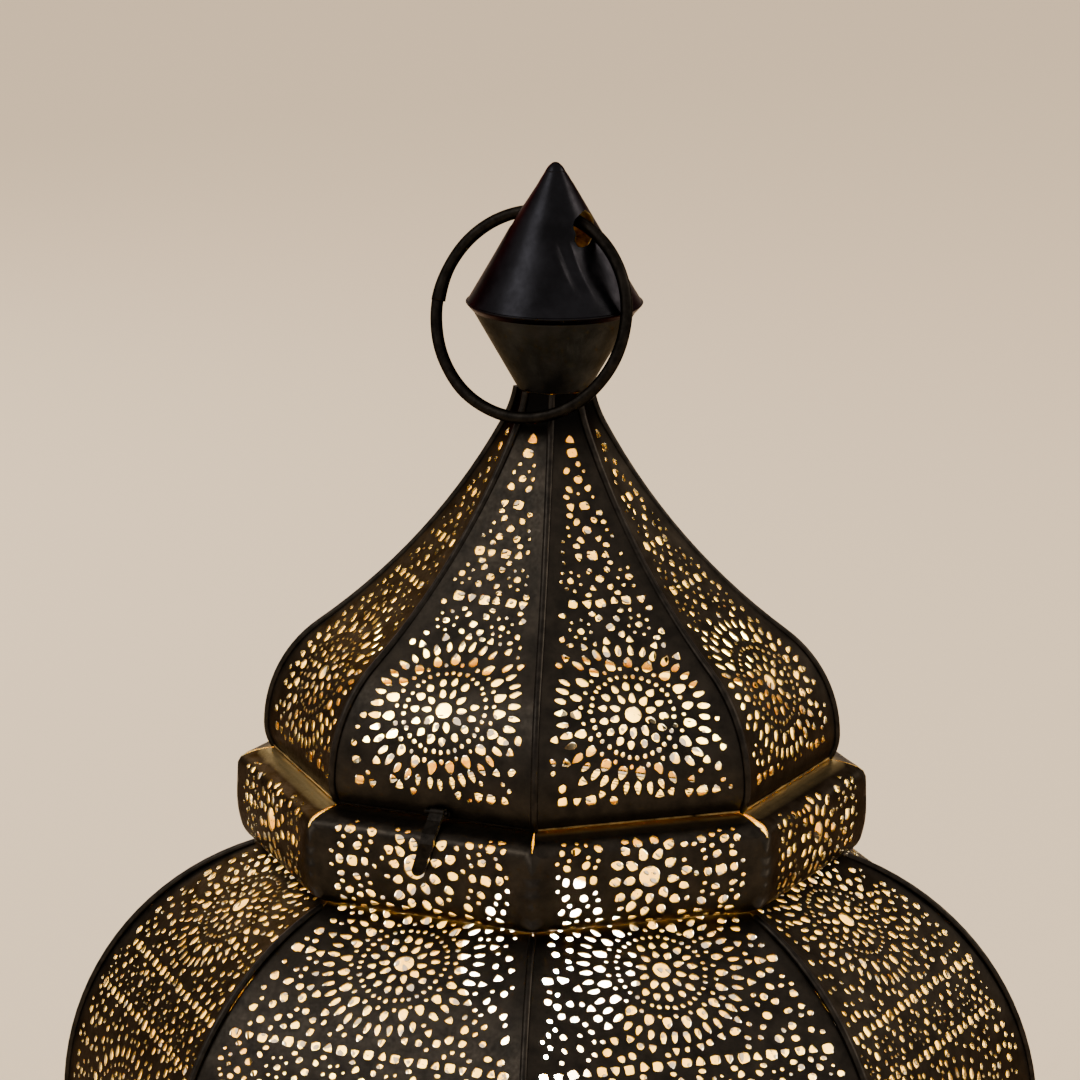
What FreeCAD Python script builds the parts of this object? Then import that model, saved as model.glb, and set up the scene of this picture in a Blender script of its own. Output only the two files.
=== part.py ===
import FreeCAD, Part
import math
import os

import Sketcher
from FreeCAD import Placement, Rotation, Vector

# Octagonal filigree lantern, in millimetres.
# +Z is up and the origin is the middle of the base, on the surface the lantern stands on.
# Face 1 of every octagon looks along -Y and carries the latch; the lid hinges at the back, on +Y.
# A radius called "flat" runs from the axis to the middle of a face. A corner lies at flat / cos(22.5 deg).

FACES = 8
HALF_FACE = math.radians(22.5)
TO_CORNER = " / cos(22.5 deg)"
FACE_TURN = 45.0
FIRST_FACE = -90.0  # turns a panel drawn on +X round to -Y

DIMENSIONS = {
    "wall": (0.8, "sheet of every panel"),
    "rib_radius": (1.2, "seam wire along each corner"),
    "seam_gap": (1.25, "panel edge to the corner's plane, where a seam wire lies"),
    "butt_gap": (0.02, "panel edge to the corner's plane, where there is no wire"),
    "panel_reach": (200.0, "far enough to clear every panel"),
    # lid: ogee dome
    "dome_base_flat": (85.7, ""), "dome_base_z": (296.4, ""),
    "dome_belly_flat": (87.9, ""), "dome_belly_z": (304.4, ""),
    "dome_shoulder_flat": (71.5, ""), "dome_shoulder_z": (339.4, ""),
    "dome_waist_flat": (15.1, ""), "dome_waist_z": (409.4, ""),
    "dome_top_flat": (11.3, ""), "dome_top_z": (421.2, ""),
    "base_band_flat": (84.7, "strip inside the lid's bottom edge"),
    "base_band_z": (296.6, ""), "base_band_height": (7.0, ""),
    # collar
    "collar_top_flat": (83.2, ""), "collar_top_z": (296.0, ""),
    "collar_slope_flat": (94.8, ""), "collar_slope_z": (293.5, ""),
    "collar_corner_flat": (97.2, ""), "collar_corner_z": (290.3, ""),
    "collar_belly_flat": (97.8, ""), "collar_belly_z": (279.5, ""),
    "collar_heel_flat": (96.2, ""), "collar_heel_z": (268.6, ""),
    "collar_foot_flat": (90.0, ""), "collar_foot_z": (264.0, ""),
    "spigot_flat": (83.1, "strip inside the collar that the lid drops over"),
    "spigot_z": (288.0, ""), "spigot_height": (12.5, ""),
    "latch_hole_radius": (4.0, ""), "latch_hole_z": (281.5, ""),
    # bulb-shaped body
    "body_top_flat": (86.5, ""), "body_top_z": (264.5, ""),
    "body_belly_flat": (151.5, ""), "body_belly_z": (172.0, ""),
    "body_foot_flat": (74.0, ""), "body_foot_z": (51.0, ""),
    "body_rib_top_flat": (92.0, "on the same arc, clear of the collar"), "body_rib_top_z": (262.33, ""),
    # foot
    "waist_band_flat": (78.5, ""), "waist_band_z": (43.5, ""), "waist_band_height": (7.5, ""),
    "waist_band_depth": (8.0, ""), "waist_band_round": (3.0, ""),
    "foot_top_flat": (74.0, ""), "foot_top_z": (43.4, ""),
    "foot_edge_flat": (97.5, ""), "foot_edge_z": (14.2, ""),
    "plinth_flat": (98.0, ""), "plinth_height": (14.0, ""), "plinth_wall": (1.0, ""),
    "plinth_flange": (6.0, "inward turned edge the lantern stands on"),
    "plate_flat": (72.2, "floor of the body"), "plate_z": (51.0, ""), "plate_wall": (1.2, ""),
    # finial
    "sleeve_radius": (10.2, ""), "sleeve_z": (404.0, ""), "sleeve_height": (20.0, ""),
    "finial_neck_radius": (12.0, ""), "finial_neck_z": (421.4, ""),
    "finial_rim_radius": (28.2, ""), "finial_rim_z": (449.6, ""),
    "finial_brim_radius": (29.0, ""), "finial_tip_radius": (0.6, ""), "finial_tip_z": (496.4, ""),
    # ring handle
    "ring_radius": (34.2, "to the middle of the wire"), "ring_wire_radius": (2.1, ""),
    "ring_lean": (17.2, "degrees from hanging straight down, at rest"),
    "ring_shift": (4.0, "how far the ring has slid along -X in its holes"),
    "ring_pivot_z": (477.4, ""), "ring_hole_span": (11.7, "axis to a hole, along X"),
    "ring_hole_radius": (4.6, ""), "ring_split": (359.0, "degrees of wire: the ends butt"),
    # lid hinge
    "hinge_axis_y": (91.4, ""), "hinge_axis_z": (298.6, ""),
    "hinge_barrel_radius": (2.1, ""), "hinge_bore_radius": (1.15, ""), "hinge_pin_radius": (1.1, ""),
    "hinge_knuckle": (7.0, ""), "hinge_slack": (0.2, "between knuckles"),
    "hinge_leaf_wall": (1.4, ""), "hinge_leaf_height": (11.0, ""),
    "hinge_head_radius": (1.9, ""), "hinge_head_length": (0.8, ""),
    # latch
    "latch_x": (2.2, "the latch hangs a little to the right of the middle"),
    "latch_bar_y": (88.9, ""), "latch_bar_z": (298.8, ""), "latch_bar_radius": (0.8, ""),
    "latch_bar_half": (3.9, ""), "latch_leg_length": (1.7, ""),
    "latch_barrel_radius": (1.7, ""), "latch_bore_radius": (0.87, ""),
    "latch_width": (4.8, ""), "latch_wall": (1.0, ""), "latch_tip_z": (282.4, ""),
    # lamp
    "tube_radius": (5.0, ""), "tube_bore": (4.0, ""), "tube_z": (41.0, ""), "tube_length": (98.0, ""),
    "thread_slack": (0.03, ""), "nut_radius": (8.0, ""), "nut_height": (4.0, ""),
    "washer_radius": (10.0, ""), "washer_wall": (1.0, ""),
    "cap_z": (131.0, ""), "cap_height": (12.0, ""), "cap_neck_radius": (9.0, ""),
    "holder_radius": (19.5, ""), "holder_wall": (1.5, ""), "holder_z": (143.0, ""), "holder_height": (34.0, ""),
    "insert_radius": (17.7, ""), "insert_bore": (13.6, ""), "insert_z": (143.6, ""), "insert_height": (31.0, ""),
    "insert_floor": (3.0, ""),
    "bulb_cap_radius": (13.2, ""), "bulb_cap_z": (147.4, ""), "bulb_cap_height": (26.0, ""),
    "bulb_radius": (30.0, ""), "bulb_centre_z": (222.0, ""), "bulb_wall": (0.8, ""),
    "bulb_throat_radius": (13.0, ""), "bulb_throat_z": (173.6, ""),
    "stem_radius": (4.0, ""), "stem_height": (30.0, ""),
    "filament_radius": (0.9, ""), "filament_length": (36.0, ""), "filament_circle": (7.0, ""),
    "filament_z": (207.0, ""),
    # cable inlet, in the back of the plinth
    "inlet_z": (7.4, ""), "inlet_hole_radius": (4.4, ""), "inlet_bore": (3.0, ""),
    "inlet_flange_radius": (5.6, ""), "inlet_flange": (1.5, ""), "inlet_slack": (0.05, ""),
}

doc = FreeCAD.newDocument("lantern")
sheet = doc.addObject("Spreadsheet::Sheet", "dims")
for row, (alias, (number, note)) in enumerate(DIMENSIONS.items(), start=1):
    sheet.set(f"A{row}", alias)
    sheet.set(f"B{row}", str(number))
    sheet.set(f"C{row}", note)
    sheet.setAlias(f"B{row}", alias)
doc.recompute()


def dim(alias):
    """The number in the sheet's cell of that name."""
    return float(sheet.get(alias))


def bind(obj, **expressions):
    """Binds each named property of obj to an expression of the sheet's cells."""
    for name, expression in expressions.items():
        obj.setExpression(name, expression)


def d(alias):
    """How an expression names a cell."""
    return f"dims.{alias}"


SUBPARTS = []


def subpart(obj, label):
    """Marks obj as one of the lantern's pieces, under the name of its file."""
    obj.Label = label
    SUBPARTS.append(obj)
    return obj


# ---------------------------------------------------------------- outlines made of tangent arcs


def arc_through(start, heading, end):
    """Centre, radius and final heading of the arc that leaves start along heading and meets end."""
    chord = end - start
    normal = Vector(-heading.y, heading.x, 0)
    signed = chord.dot(chord) / (2 * normal.dot(chord))
    centre = start + normal * signed
    along = Vector(chord).normalize()
    return centre, abs(signed), along * (2 * heading.dot(along)) - heading


def tangent_arcs(points, belly):
    """Arcs joining the points in order, tangent to each other and upright at points[belly]."""
    arcs = [None] * (len(points) - 1)
    heading = Vector(0, 1, 0)
    for i in range(belly, len(points) - 1):
        centre, radius, heading = arc_through(points[i], heading, points[i + 1])
        arcs[i] = (centre, radius, points[i], points[i + 1])
    heading = Vector(0, -1, 0)
    for i in range(belly, 0, -1):
        centre, radius, heading = arc_through(points[i], heading, points[i - 1])
        arcs[i - 1] = (centre, radius, points[i - 1], points[i])
    return arcs


def add_arc(sketch, centre, radius, start, end):
    """Adds an arc and returns its index and which of its ends, 1 or 2, lie at start and end."""
    a, b = start - centre, end - centre
    forward = a.cross(b).z > 0
    first, last = (a, b) if forward else (b, a)
    angles = [math.atan2(v.y, v.x) for v in (first, last)]
    if angles[1] < angles[0]:
        angles[1] += 2 * math.pi
    circle = Part.Circle(centre, Vector(0, 0, 1), radius)
    index = sketch.addGeometry(Part.ArcOfCircle(circle, *angles), False)
    return index, (1, 2) if forward else (2, 1)


def chain(sketch, arcs):
    """Draws tangent arcs end to end and returns each arc's index and ends."""
    drawn = [add_arc(sketch, *arc) for arc in arcs]
    for (one, ends), (two, next_ends) in zip(drawn, drawn[1:]):
        sketch.addConstraint(Sketcher.Constraint("Tangent", one, ends[1], two, next_ends[0]))
    return drawn


def pin_points(sketch, drawn, names, belly, scale=""):
    """Ties the chain's points to the sheet and makes it upright at the belly."""
    for i, name in enumerate(names):
        index, ends = drawn[min(i, len(drawn) - 1)]
        end = ends[0] if i < len(drawn) else ends[1]
        point = sketch.getPoint(index, end)
        for kind, value, cell in (("DistanceX", point.x, "flat"), ("DistanceY", point.y, "z")):
            number = sketch.addConstraint(Sketcher.Constraint(kind, -1, 1, index, end, value))
            sketch.renameConstraint(number, f"{name}_{cell}")
            expression = d(f"{name}_{cell}") + (scale if cell == "flat" else "")
            sketch.setExpression(f"Constraints.{name}_{cell}", expression)
    index, ends = drawn[min(belly, len(drawn) - 1)]
    end = ends[0] if belly < len(drawn) else ends[1]
    sketch.addConstraint(Sketcher.Constraint("Horizontal", index, 3, index, end))


def named_points(names, scale=1.0):
    return [Vector(dim(f"{n}_flat") * scale, dim(f"{n}_z"), 0) for n in names]


def origin_plane(body, role):
    return next(f for f in body.Origin.OriginFeatures if f.Role == role)


def sketch_on(body, role, name):
    sketch = body.newObject("Sketcher::SketchObject", name)
    sketch.AttachmentSupport = (origin_plane(body, role), [""])
    sketch.MapMode = "FlatFace"
    return sketch


def band_sketch(body, name, names, belly, cuts):
    """A strip of sheet seen from the side: the named outline outside, and the same one wall inside it."""
    sketch = sketch_on(body, "XZ_Plane", name)
    arcs = tangent_arcs(named_points(names), belly)
    outer = chain(sketch, arcs)
    pin_points(sketch, outer, names, belly)

    wall = dim("wall")
    side = Vector(-wall, 0, 0)
    points = [arcs[0][2]] + [arc[3] for arc in arcs]
    shifted = [None] * len(points)
    for i, point in enumerate(points):
        centre, radius = arcs[min(i, len(arcs) - 1)][:2]
        out = Vector(point - centre).normalize()
        shifted[i] = point + out * (wall if out.dot(side) > 0 else -wall)
    inner_arcs = [
        (arc[0], (shifted[i] - arc[0]).Length, shifted[i], shifted[i + 1]) for i, arc in enumerate(arcs)
    ]
    inner = chain(sketch, inner_arcs)
    for (one, _), (two, _) in zip(outer, inner):
        sketch.addConstraint(Sketcher.Constraint("Coincident", one, 3, two, 3))
    at = min(belly, len(arcs) - 1)
    end = 0 if belly < len(arcs) else 1
    number = sketch.addConstraint(
        Sketcher.Constraint("DistanceX", inner[at][0], inner[at][1][end], outer[at][0], outer[at][1][end], wall)
    )
    sketch.renameConstraint(number, "wall")
    sketch.setExpression("Constraints.wall", d("wall"))
    for cut, which, end in ((cuts[0], 0, 0), (cuts[1], -1, 1)):
        (one, one_ends), (two, two_ends) = outer[which], inner[which]
        a, b = sketch.getPoint(one, one_ends[end]), sketch.getPoint(two, two_ends[end])
        line = sketch.addGeometry(Part.LineSegment(a, b), False)
        sketch.addConstraint(Sketcher.Constraint("Coincident", line, 1, one, one_ends[end]))
        sketch.addConstraint(Sketcher.Constraint("Coincident", line, 2, two, two_ends[end]))
        sketch.addConstraint(Sketcher.Constraint(cut, line))
    return sketch


def wedge_pocket(body, after, gap):
    """Trims a panel to its eighth of a turn, less the gap along both edges."""
    sketch = sketch_on(body, "XY_Plane", f"{body.Name}_trim")
    reach = dim("panel_reach")
    apex = dim(gap) / math.sin(HALF_FACE)
    far = reach - 5
    rise = (far - apex) * math.tan(HALF_FACE)
    for loop in (
        [(-reach, -reach), (reach, -reach), (reach, reach), (-reach, reach)],
        [(apex, 0), (far, -rise), (far, rise)],
    ):
        corners = [Vector(x, y, 0) for x, y in loop]
        first = sketch.GeometryCount
        for i, corner in enumerate(corners):
            sketch.addGeometry(Part.LineSegment(corner, corners[(i + 1) % len(corners)]), False)
        for i in range(len(corners)):
            follower = first + (i + 1) % len(corners)
            sketch.addConstraint(Sketcher.Constraint("Coincident", first + i, 2, follower, 1))
    for line, kind in ((0, "Horizontal"), (2, "Horizontal"), (1, "Vertical"), (3, "Vertical"), (5, "Vertical")):
        sketch.addConstraint(Sketcher.Constraint(kind, line))
    for kind, geometry, end, expression, value in (
        ("DistanceX", 0, 2, d("panel_reach"), reach), ("DistanceY", 1, 2, d("panel_reach"), reach),
        ("DistanceX", 0, 1, "-" + d("panel_reach"), -reach), ("DistanceY", 0, 1, "-" + d("panel_reach"), -reach),
        ("DistanceX", 4, 1, f"{d(gap)} / sin(22.5 deg)", apex), ("DistanceY", 4, 1, "0", 0.0),
        ("DistanceX", 5, 1, f"{d('panel_reach')} - 5", far),
        ("DistanceY", 5, 2, f"({d('panel_reach')} - 5 - {d(gap)} / sin(22.5 deg)) * tan(22.5 deg)", rise),
        ("DistanceY", 5, 1, f"-({d('panel_reach')} - 5 - {d(gap)} / sin(22.5 deg)) * tan(22.5 deg)", -rise),
    ):
        number = sketch.addConstraint(Sketcher.Constraint(kind, -1, 1, geometry, end, value))
        if expression != "0":
            sketch.setExpression(f"Constraints[{number}]", expression)
    pocket = body.newObject("PartDesign::Pocket", f"{body.Name}_wedge")
    pocket.BaseFeature = after
    pocket.Profile = sketch
    pocket.Type = "ThroughAll"
    pocket.Midplane = True
    return pocket


def panel(kind, number, names, belly, cuts, gap):
    """One face's panel: a strip bent to the outline, trimmed to its eighth of a turn."""
    body = doc.addObject("PartDesign::Body", f"{kind}_{number}")
    band = band_sketch(body, f"{body.Name}_outline", names, belly, cuts)
    pad = body.newObject("PartDesign::Pad", f"{body.Name}_strip")
    pad.Profile = band
    pad.Midplane = True
    bind(pad, Length=d("panel_reach"))
    body.Tip = wedge_pocket(body, pad, gap)
    turn = FIRST_FACE + (number - 1) * FACE_TURN
    body.Placement = Placement(Vector(), Rotation(Vector(0, 0, 1), turn))
    return subpart(body, body.Name)


def ribs(label, names, belly):
    """The seam wires along the eight corners of one storey."""
    body = doc.addObject("PartDesign::Body", label)
    body.AllowCompound = True
    path = sketch_on(body, "XZ_Plane", f"{label}_path")
    scale = 1 / math.cos(HALF_FACE)
    drawn = chain(path, tangent_arcs(named_points(names, scale), belly))
    pin_points(path, drawn, names, belly, TO_CORNER)
    doc.recompute()
    section = body.newObject("Sketcher::SketchObject", f"{label}_section")
    section.AttachmentSupport = [(path, "Edge1")]
    section.MapMode = "NormalToEdge"
    section.MapPathParameter = 0.0
    section.addGeometry(Part.Circle(Vector(), Vector(0, 0, 1), dim("rib_radius")), False)
    section.addConstraint(Sketcher.Constraint("Coincident", 0, 3, -1, 1))
    section.addConstraint(Sketcher.Constraint("Radius", 0, dim("rib_radius")))
    section.setExpression("Constraints[1]", d("rib_radius"))
    wire = body.newObject("PartDesign::AdditivePipe", f"{label}_wire")
    wire.Profile = section
    wire.Spine = (path, [f"Edge{i + 1}" for i in range(len(drawn))])
    wire.Mode = "Frenet"
    doc.recompute()
    pattern = body.newObject("PartDesign::PolarPattern", f"{label}_pattern")
    pattern.Originals = [wire]
    pattern.Axis = (origin_plane(body, "Z_Axis"), [""])
    pattern.Angle = 360
    pattern.Occurrences = FACES
    body.Tip = pattern
    turn = FIRST_FACE + FACE_TURN / 2
    body.Placement = Placement(Vector(), Rotation(Vector(0, 0, 1), turn))
    return subpart(body, label)


# ---------------------------------------------------------------- plain solids


def prism(name, flat, z, height, sides=FACES):
    """An upright prism whose first flat face looks along -Y."""
    obj = doc.addObject("Part::Prism", name)
    obj.Polygon = sides
    half = 180 / sides
    bind(obj, Circumradius=f"({flat}) / cos({half} deg)", Height=height)
    obj.Placement = Placement(Vector(), Rotation(Vector(0, 0, 1), -90 + half))
    obj.setExpression(".Placement.Base.z", z)
    return obj


def cylinder(name, radius, z, height):
    obj = doc.addObject("Part::Cylinder", name)
    bind(obj, Radius=radius, Height=height)
    obj.setExpression(".Placement.Base.z", z)
    return obj


def cross_cylinder(name, radius, x, y, z, length, along):
    """A cylinder that starts at x, y, z and runs along the row's X or Y axis."""
    obj = doc.addObject("Part::Cylinder", name)
    bind(obj, Radius=radius, Height=length)
    axis, angle = {"x": (Vector(0, 1, 0), 90), "y": (Vector(1, 0, 0), -90)}[along]
    obj.Placement = Placement(Vector(), Rotation(axis, angle))
    for name_of, expression in (("x", x), ("y", y), ("z", z)):
        obj.setExpression(f".Placement.Base.{name_of}", expression)
    return obj


def box(name, x, y, z, length, width, height):
    obj = doc.addObject("Part::Box", name)
    bind(obj, Length=length, Width=width, Height=height)
    for name_of, expression in (("x", x), ("y", y), ("z", z)):
        obj.setExpression(f".Placement.Base.{name_of}", expression)
    return obj


def cone(name, low_radius, high_radius, z, height):
    obj = doc.addObject("Part::Cone", name)
    bind(obj, Radius1=low_radius, Radius2=high_radius, Height=height)
    obj.setExpression(".Placement.Base.z", z)
    return obj


def cut(name, base, *tools):
    for number, tool in enumerate(tools, start=1):
        result = doc.addObject("Part::Cut", f"{name}_cut{number}")
        result.Base, result.Tool = base, tool
        base = result
    return base


def fuse(name, *shapes):
    result = doc.addObject("Part::MultiFuse", f"{name}_fuse")
    result.Shapes = list(shapes)
    return result


def revolved(label, points, axis="z"):
    """A solid turned from a closed outline of (radius, height) pairs, each an expression of the sheet's cells."""
    body = doc.addObject("PartDesign::Body", label)
    sketch = sketch_on(body, "XZ_Plane", f"{label}_outline")
    corners = [Vector(*(evaluate(p) for p in pair), 0) for pair in points]
    for i, corner in enumerate(corners):
        sketch.addGeometry(Part.LineSegment(corner, corners[(i + 1) % len(corners)]), False)
    for i in range(len(corners)):
        sketch.addConstraint(Sketcher.Constraint("Coincident", i, 2, (i + 1) % len(corners), 1))
    for i, pair in enumerate(points):
        for kind, expression in zip(("DistanceX", "DistanceY"), pair):
            value = evaluate(expression)
            number = sketch.addConstraint(Sketcher.Constraint(kind, -1, 1, i, 1, value))
            if "dims." in expression:
                sketch.setExpression(f"Constraints[{number}]", expression)
    turned = body.newObject("PartDesign::Revolution", f"{label}_turned")
    turned.Profile = sketch
    turned.ReferenceAxis = (sketch, ["V_Axis"])
    turned.Angle = 360
    body.Tip = turned
    return subpart(body, label)


def evaluate(expression):
    """The number an expression of the sheet's cells comes to."""
    return float(sheet.evalExpression(expression.replace("dims.", "")))


# ---------------------------------------------------------------- panels, storey by storey

DOME = ["dome_base", "dome_belly", "dome_shoulder", "dome_waist", "dome_top"]
COLLAR = ["collar_foot", "collar_heel", "collar_belly", "collar_corner", "collar_slope", "collar_top"]
BODY = ["body_foot", "body_belly", "body_top"]
FOOT = ["foot_edge", "foot_top"]

for face in range(1, FACES + 1):
    panel("dome_gore", face, DOME, 1, ("Horizontal", "Horizontal"), "seam_gap")
    panel("body_gore", face, BODY, 1, ("Horizontal", "Vertical"), "seam_gap")
    panel("foot_panel", face, FOOT, 1, ("Horizontal", "Horizontal"), "butt_gap")
    collar = panel("collar_panel", face, COLLAR, 2, ("Vertical", "Vertical"), "butt_gap")
    if face == 1:
        # the rosette's middle hole, which the latch's tongue lies over
        hole = sketch_on(collar, "YZ_Plane", "latch_hole")
        hole.addGeometry(Part.Circle(Vector(0, dim("latch_hole_z"), 0), Vector(0, 0, 1), 4), False)
        hole.addConstraint(Sketcher.Constraint("PointOnObject", 0, 3, -2))
        hole.addConstraint(Sketcher.Constraint("DistanceY", -1, 1, 0, 3, dim("latch_hole_z")))
        hole.setExpression("Constraints[1]", d("latch_hole_z"))
        hole.addConstraint(Sketcher.Constraint("Radius", 0, dim("latch_hole_radius")))
        hole.setExpression("Constraints[2]", d("latch_hole_radius"))
        bored = collar.newObject("PartDesign::Pocket", "latch_hole_pocket")
        bored.Profile = hole
        bored.Type = "ThroughAll"
        bored.Midplane = True
        collar.Tip = bored

ribs("dome_ribs", DOME, 1)
ribs("body_ribs", ["body_foot", "body_belly", "body_rib_top"], 1)


# ---------------------------------------------------------------- bands, plinth and floor


def strip_ring(label, flat, z, height, wall):
    """An upright octagonal strip, flat outside and wall thick."""
    outer = prism(f"{label}_outer", flat, z, height)
    inner = prism(f"{label}_inner", f"{flat} - {wall}", f"{z} - 1", f"{height} + 2")
    return cut(label, outer, inner)


subpart(strip_ring("dome_base_band", d("base_band_flat"), d("base_band_z"), d("base_band_height"), d("wall")),
        "dome_base_band")
subpart(strip_ring("collar_spigot", d("spigot_flat"), d("spigot_z"), d("spigot_height"), d("wall")),
        "collar_spigot")

waist = strip_ring("waist_band", d("waist_band_flat"), d("waist_band_z"), d("waist_band_height"),
                   d("waist_band_depth"))
doc.recompute()
rounded = doc.addObject("Part::Fillet", "waist_band_rounded")
rounded.Base = waist
outer_corner = dim("waist_band_flat") - 0.1
rounded.Edges = [
    (number, dim("waist_band_round"), dim("waist_band_round"))
    for number, edge in enumerate(waist.Shape.Edges, start=1)
    if abs(edge.Vertexes[0].Z - edge.Vertexes[1].Z) < 0.01
    and math.hypot(edge.CenterOfMass.x, edge.CenterOfMass.y) > outer_corner
]
subpart(rounded, "waist_band")

plinth_outer = prism("plinth_outer", d("plinth_flat"), "0", d("plinth_height"))
plinth_hollow = prism("plinth_hollow", f"{d('plinth_flat')} - {d('plinth_wall')}", d("plinth_wall"),
                      d("plinth_height"))
plinth_mouth = prism("plinth_mouth", f"{d('plinth_flat')} - {d('plinth_flange')}", "-1", "3")
inlet_hole = cross_cylinder("inlet_hole", d("inlet_hole_radius"), "0", f"{d('plinth_flat')} - 5",
                            d("inlet_z"), "10", "y")
subpart(cut("plinth_band", plinth_outer, plinth_hollow, plinth_mouth, inlet_hole), "plinth_band")

plate = prism("plate_outer", d("plate_flat"), d("plate_z"), d("plate_wall"))
plate_bore = cylinder("plate_bore", f"{d('tube_radius')} + 0.2", f"{d('plate_z')} - 1", f"{d('plate_wall')} + 2")
subpart(cut("base_plate", plate, plate_bore), "base_plate")


# ---------------------------------------------------------------- finial

subpart(cut("neck_sleeve",
            cylinder("sleeve_outer", d("sleeve_radius"), d("sleeve_z"), d("sleeve_height")),
            cylinder("sleeve_bore", f"{d('sleeve_radius')} - {d('wall')}", f"{d('sleeve_z')} - 1",
                     f"{d('sleeve_height')} + 2")), "neck_sleeve")

lower_height = f"{d('finial_rim_z')} - {d('finial_neck_z')}"
lower_wall = "dims.wall * 1.16"  # the wall measured level, through a side that leans 30 degrees
subpart(cut("finial_lower_cone",
            cone("lower_cone_outer", d("finial_neck_radius"), d("finial_rim_radius"), d("finial_neck_z"),
                 lower_height),
            cone("lower_cone_inner", f"{d('finial_neck_radius')} - {lower_wall}",
                 f"{d('finial_rim_radius')} - {lower_wall}", d("finial_neck_z"), lower_height)),
        "finial_lower_cone")

upper_height = f"{d('finial_tip_z')} - {d('finial_rim_z')}"
tip_wall = "dims.wall * 1.9"  # the wall measured upright, through the same side
upper_outer = cone("upper_cone_outer", d("finial_brim_radius"), d("finial_tip_radius"), d("finial_rim_z"),
                   upper_height)
upper_inner = cone("upper_cone_inner", d("finial_brim_radius"), d("finial_tip_radius"),
                   f"{d('finial_rim_z')} - {tip_wall}", upper_height)

# The ring's wire passes through two holes in the upper cone. In the ring's own plane they lie at
# -span + shift and span + shift from its middle, so the line through them is the ring's pivot.
lean = math.radians(dim("ring_lean"))
down = Vector(0, -math.sin(lean), -math.cos(lean))
across = [side * dim("ring_hole_span") + dim("ring_shift") for side in (-1, 1)]
above = [math.sqrt(dim("ring_radius") ** 2 - a * a) for a in across]
pivot = Vector(0, 0, dim("ring_pivot_z"))
ring_middle = pivot + down * (sum(above) / 2) - Vector(dim("ring_shift"), 0, 0)
crossings = [ring_middle + Vector(a, 0, 0) - down * b for a, b in zip(across, above)]
pivot_axis = (crossings[1] - crossings[0]).normalize()

bore_length = 80.0
ring_bore = doc.addObject("Part::Cylinder", "ring_bore")
bind(ring_bore, Radius=d("ring_hole_radius"))
ring_bore.Height = bore_length
ring_bore.Placement = Placement(pivot - pivot_axis * (bore_length / 2), Rotation(Vector(0, 0, 1), pivot_axis))
subpart(cut("finial_upper_cone", upper_outer, upper_inner, ring_bore), "finial_upper_cone")


# ---------------------------------------------------------------- ring handle

ring_body = doc.addObject("PartDesign::Body", "ring_handle")
wire_section = sketch_on(ring_body, "XZ_Plane", "ring_section")
wire_section.addGeometry(Part.Circle(Vector(dim("ring_radius"), 0, 0), Vector(0, 0, 1), 2), False)
wire_section.addConstraint(Sketcher.Constraint("PointOnObject", 0, 3, -1))
wire_section.addConstraint(Sketcher.Constraint("DistanceX", -1, 1, 0, 3, dim("ring_radius")))
wire_section.setExpression("Constraints[1]", d("ring_radius"))
wire_section.addConstraint(Sketcher.Constraint("Radius", 0, dim("ring_wire_radius")))
wire_section.setExpression("Constraints[2]", d("ring_wire_radius"))
hoop = ring_body.newObject("PartDesign::Revolution", "ring_hoop")
hoop.Profile = wire_section
hoop.ReferenceAxis = (wire_section, ["V_Axis"])
bind(hoop, Angle=d("ring_split"))
ring_body.Tip = hoop
# The hoop is drawn lying flat with its split on +X: stand it up, put the split at its left and lean it.
stand = Rotation(Vector(1, 0, 0), 90 - dim("ring_lean"))
ring_body.Placement = Placement(ring_middle, stand * Rotation(Vector(0, 0, 1), 172))
subpart(ring_body, "ring_handle")


# ---------------------------------------------------------------- lid hinge, at the back


def knuckle(name, start, length):
    """One barrel of the hinge, from start along X."""
    return cross_cylinder(name, d("hinge_barrel_radius"), start, d("hinge_axis_y"), d("hinge_axis_z"), length, "x")


def hinge_bore(name):
    return cross_cylinder(name, d("hinge_bore_radius"), "-20", d("hinge_axis_y"), d("hinge_axis_z"), "40", "x")


half_knuckle = f"{d('hinge_knuckle')} / 2"
side_start = f"{half_knuckle} + {d('hinge_slack')}"
dome_plate = box("dome_leaf_plate", f"-{half_knuckle}", f"{d('dome_belly_flat')} + 0.3", d("hinge_axis_z"),
                 d("hinge_knuckle"), d("hinge_leaf_wall"), d("hinge_leaf_height"))
subpart(cut("hinge_leaf_dome",
            fuse("hinge_leaf_dome", dome_plate, knuckle("dome_knuckle", f"-{half_knuckle}", d("hinge_knuckle"))),
            hinge_bore("dome_knuckle_bore")), "hinge_leaf_dome")

# The collar's leaf is a strap bent over the collar's shoulder, seen here from the side as (y, z).
STRAP = [(91.4, 296.6), (92.6, 296.4), (94.3, 295.3), (97.2, 293.8), (98.7, 290.8), (99.0, 288.4), (99.0, 279.0),
         (98.0, 279.0), (98.0, 288.4), (97.7, 290.6), (96.5, 293.0), (94.1, 294.3), (91.4, 295.4)]
strap_body = doc.addObject("PartDesign::Body", "strap")
strap_sketch = sketch_on(strap_body, "YZ_Plane", "strap_outline")
for (y0, z0), (y1, z1) in zip(STRAP, STRAP[1:] + STRAP[:1]):
    strap_sketch.addGeometry(Part.LineSegment(Vector(y0, z0, 0), Vector(y1, z1, 0)), False)
strap_pad = strap_body.newObject("PartDesign::Pad", "strap_pad")
strap_pad.Profile = strap_sketch
strap_pad.Midplane = True
bind(strap_pad, Length=f"3 * {d('hinge_knuckle')} + 2 * {d('hinge_slack')}")
strap_body.Tip = strap_pad
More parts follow.
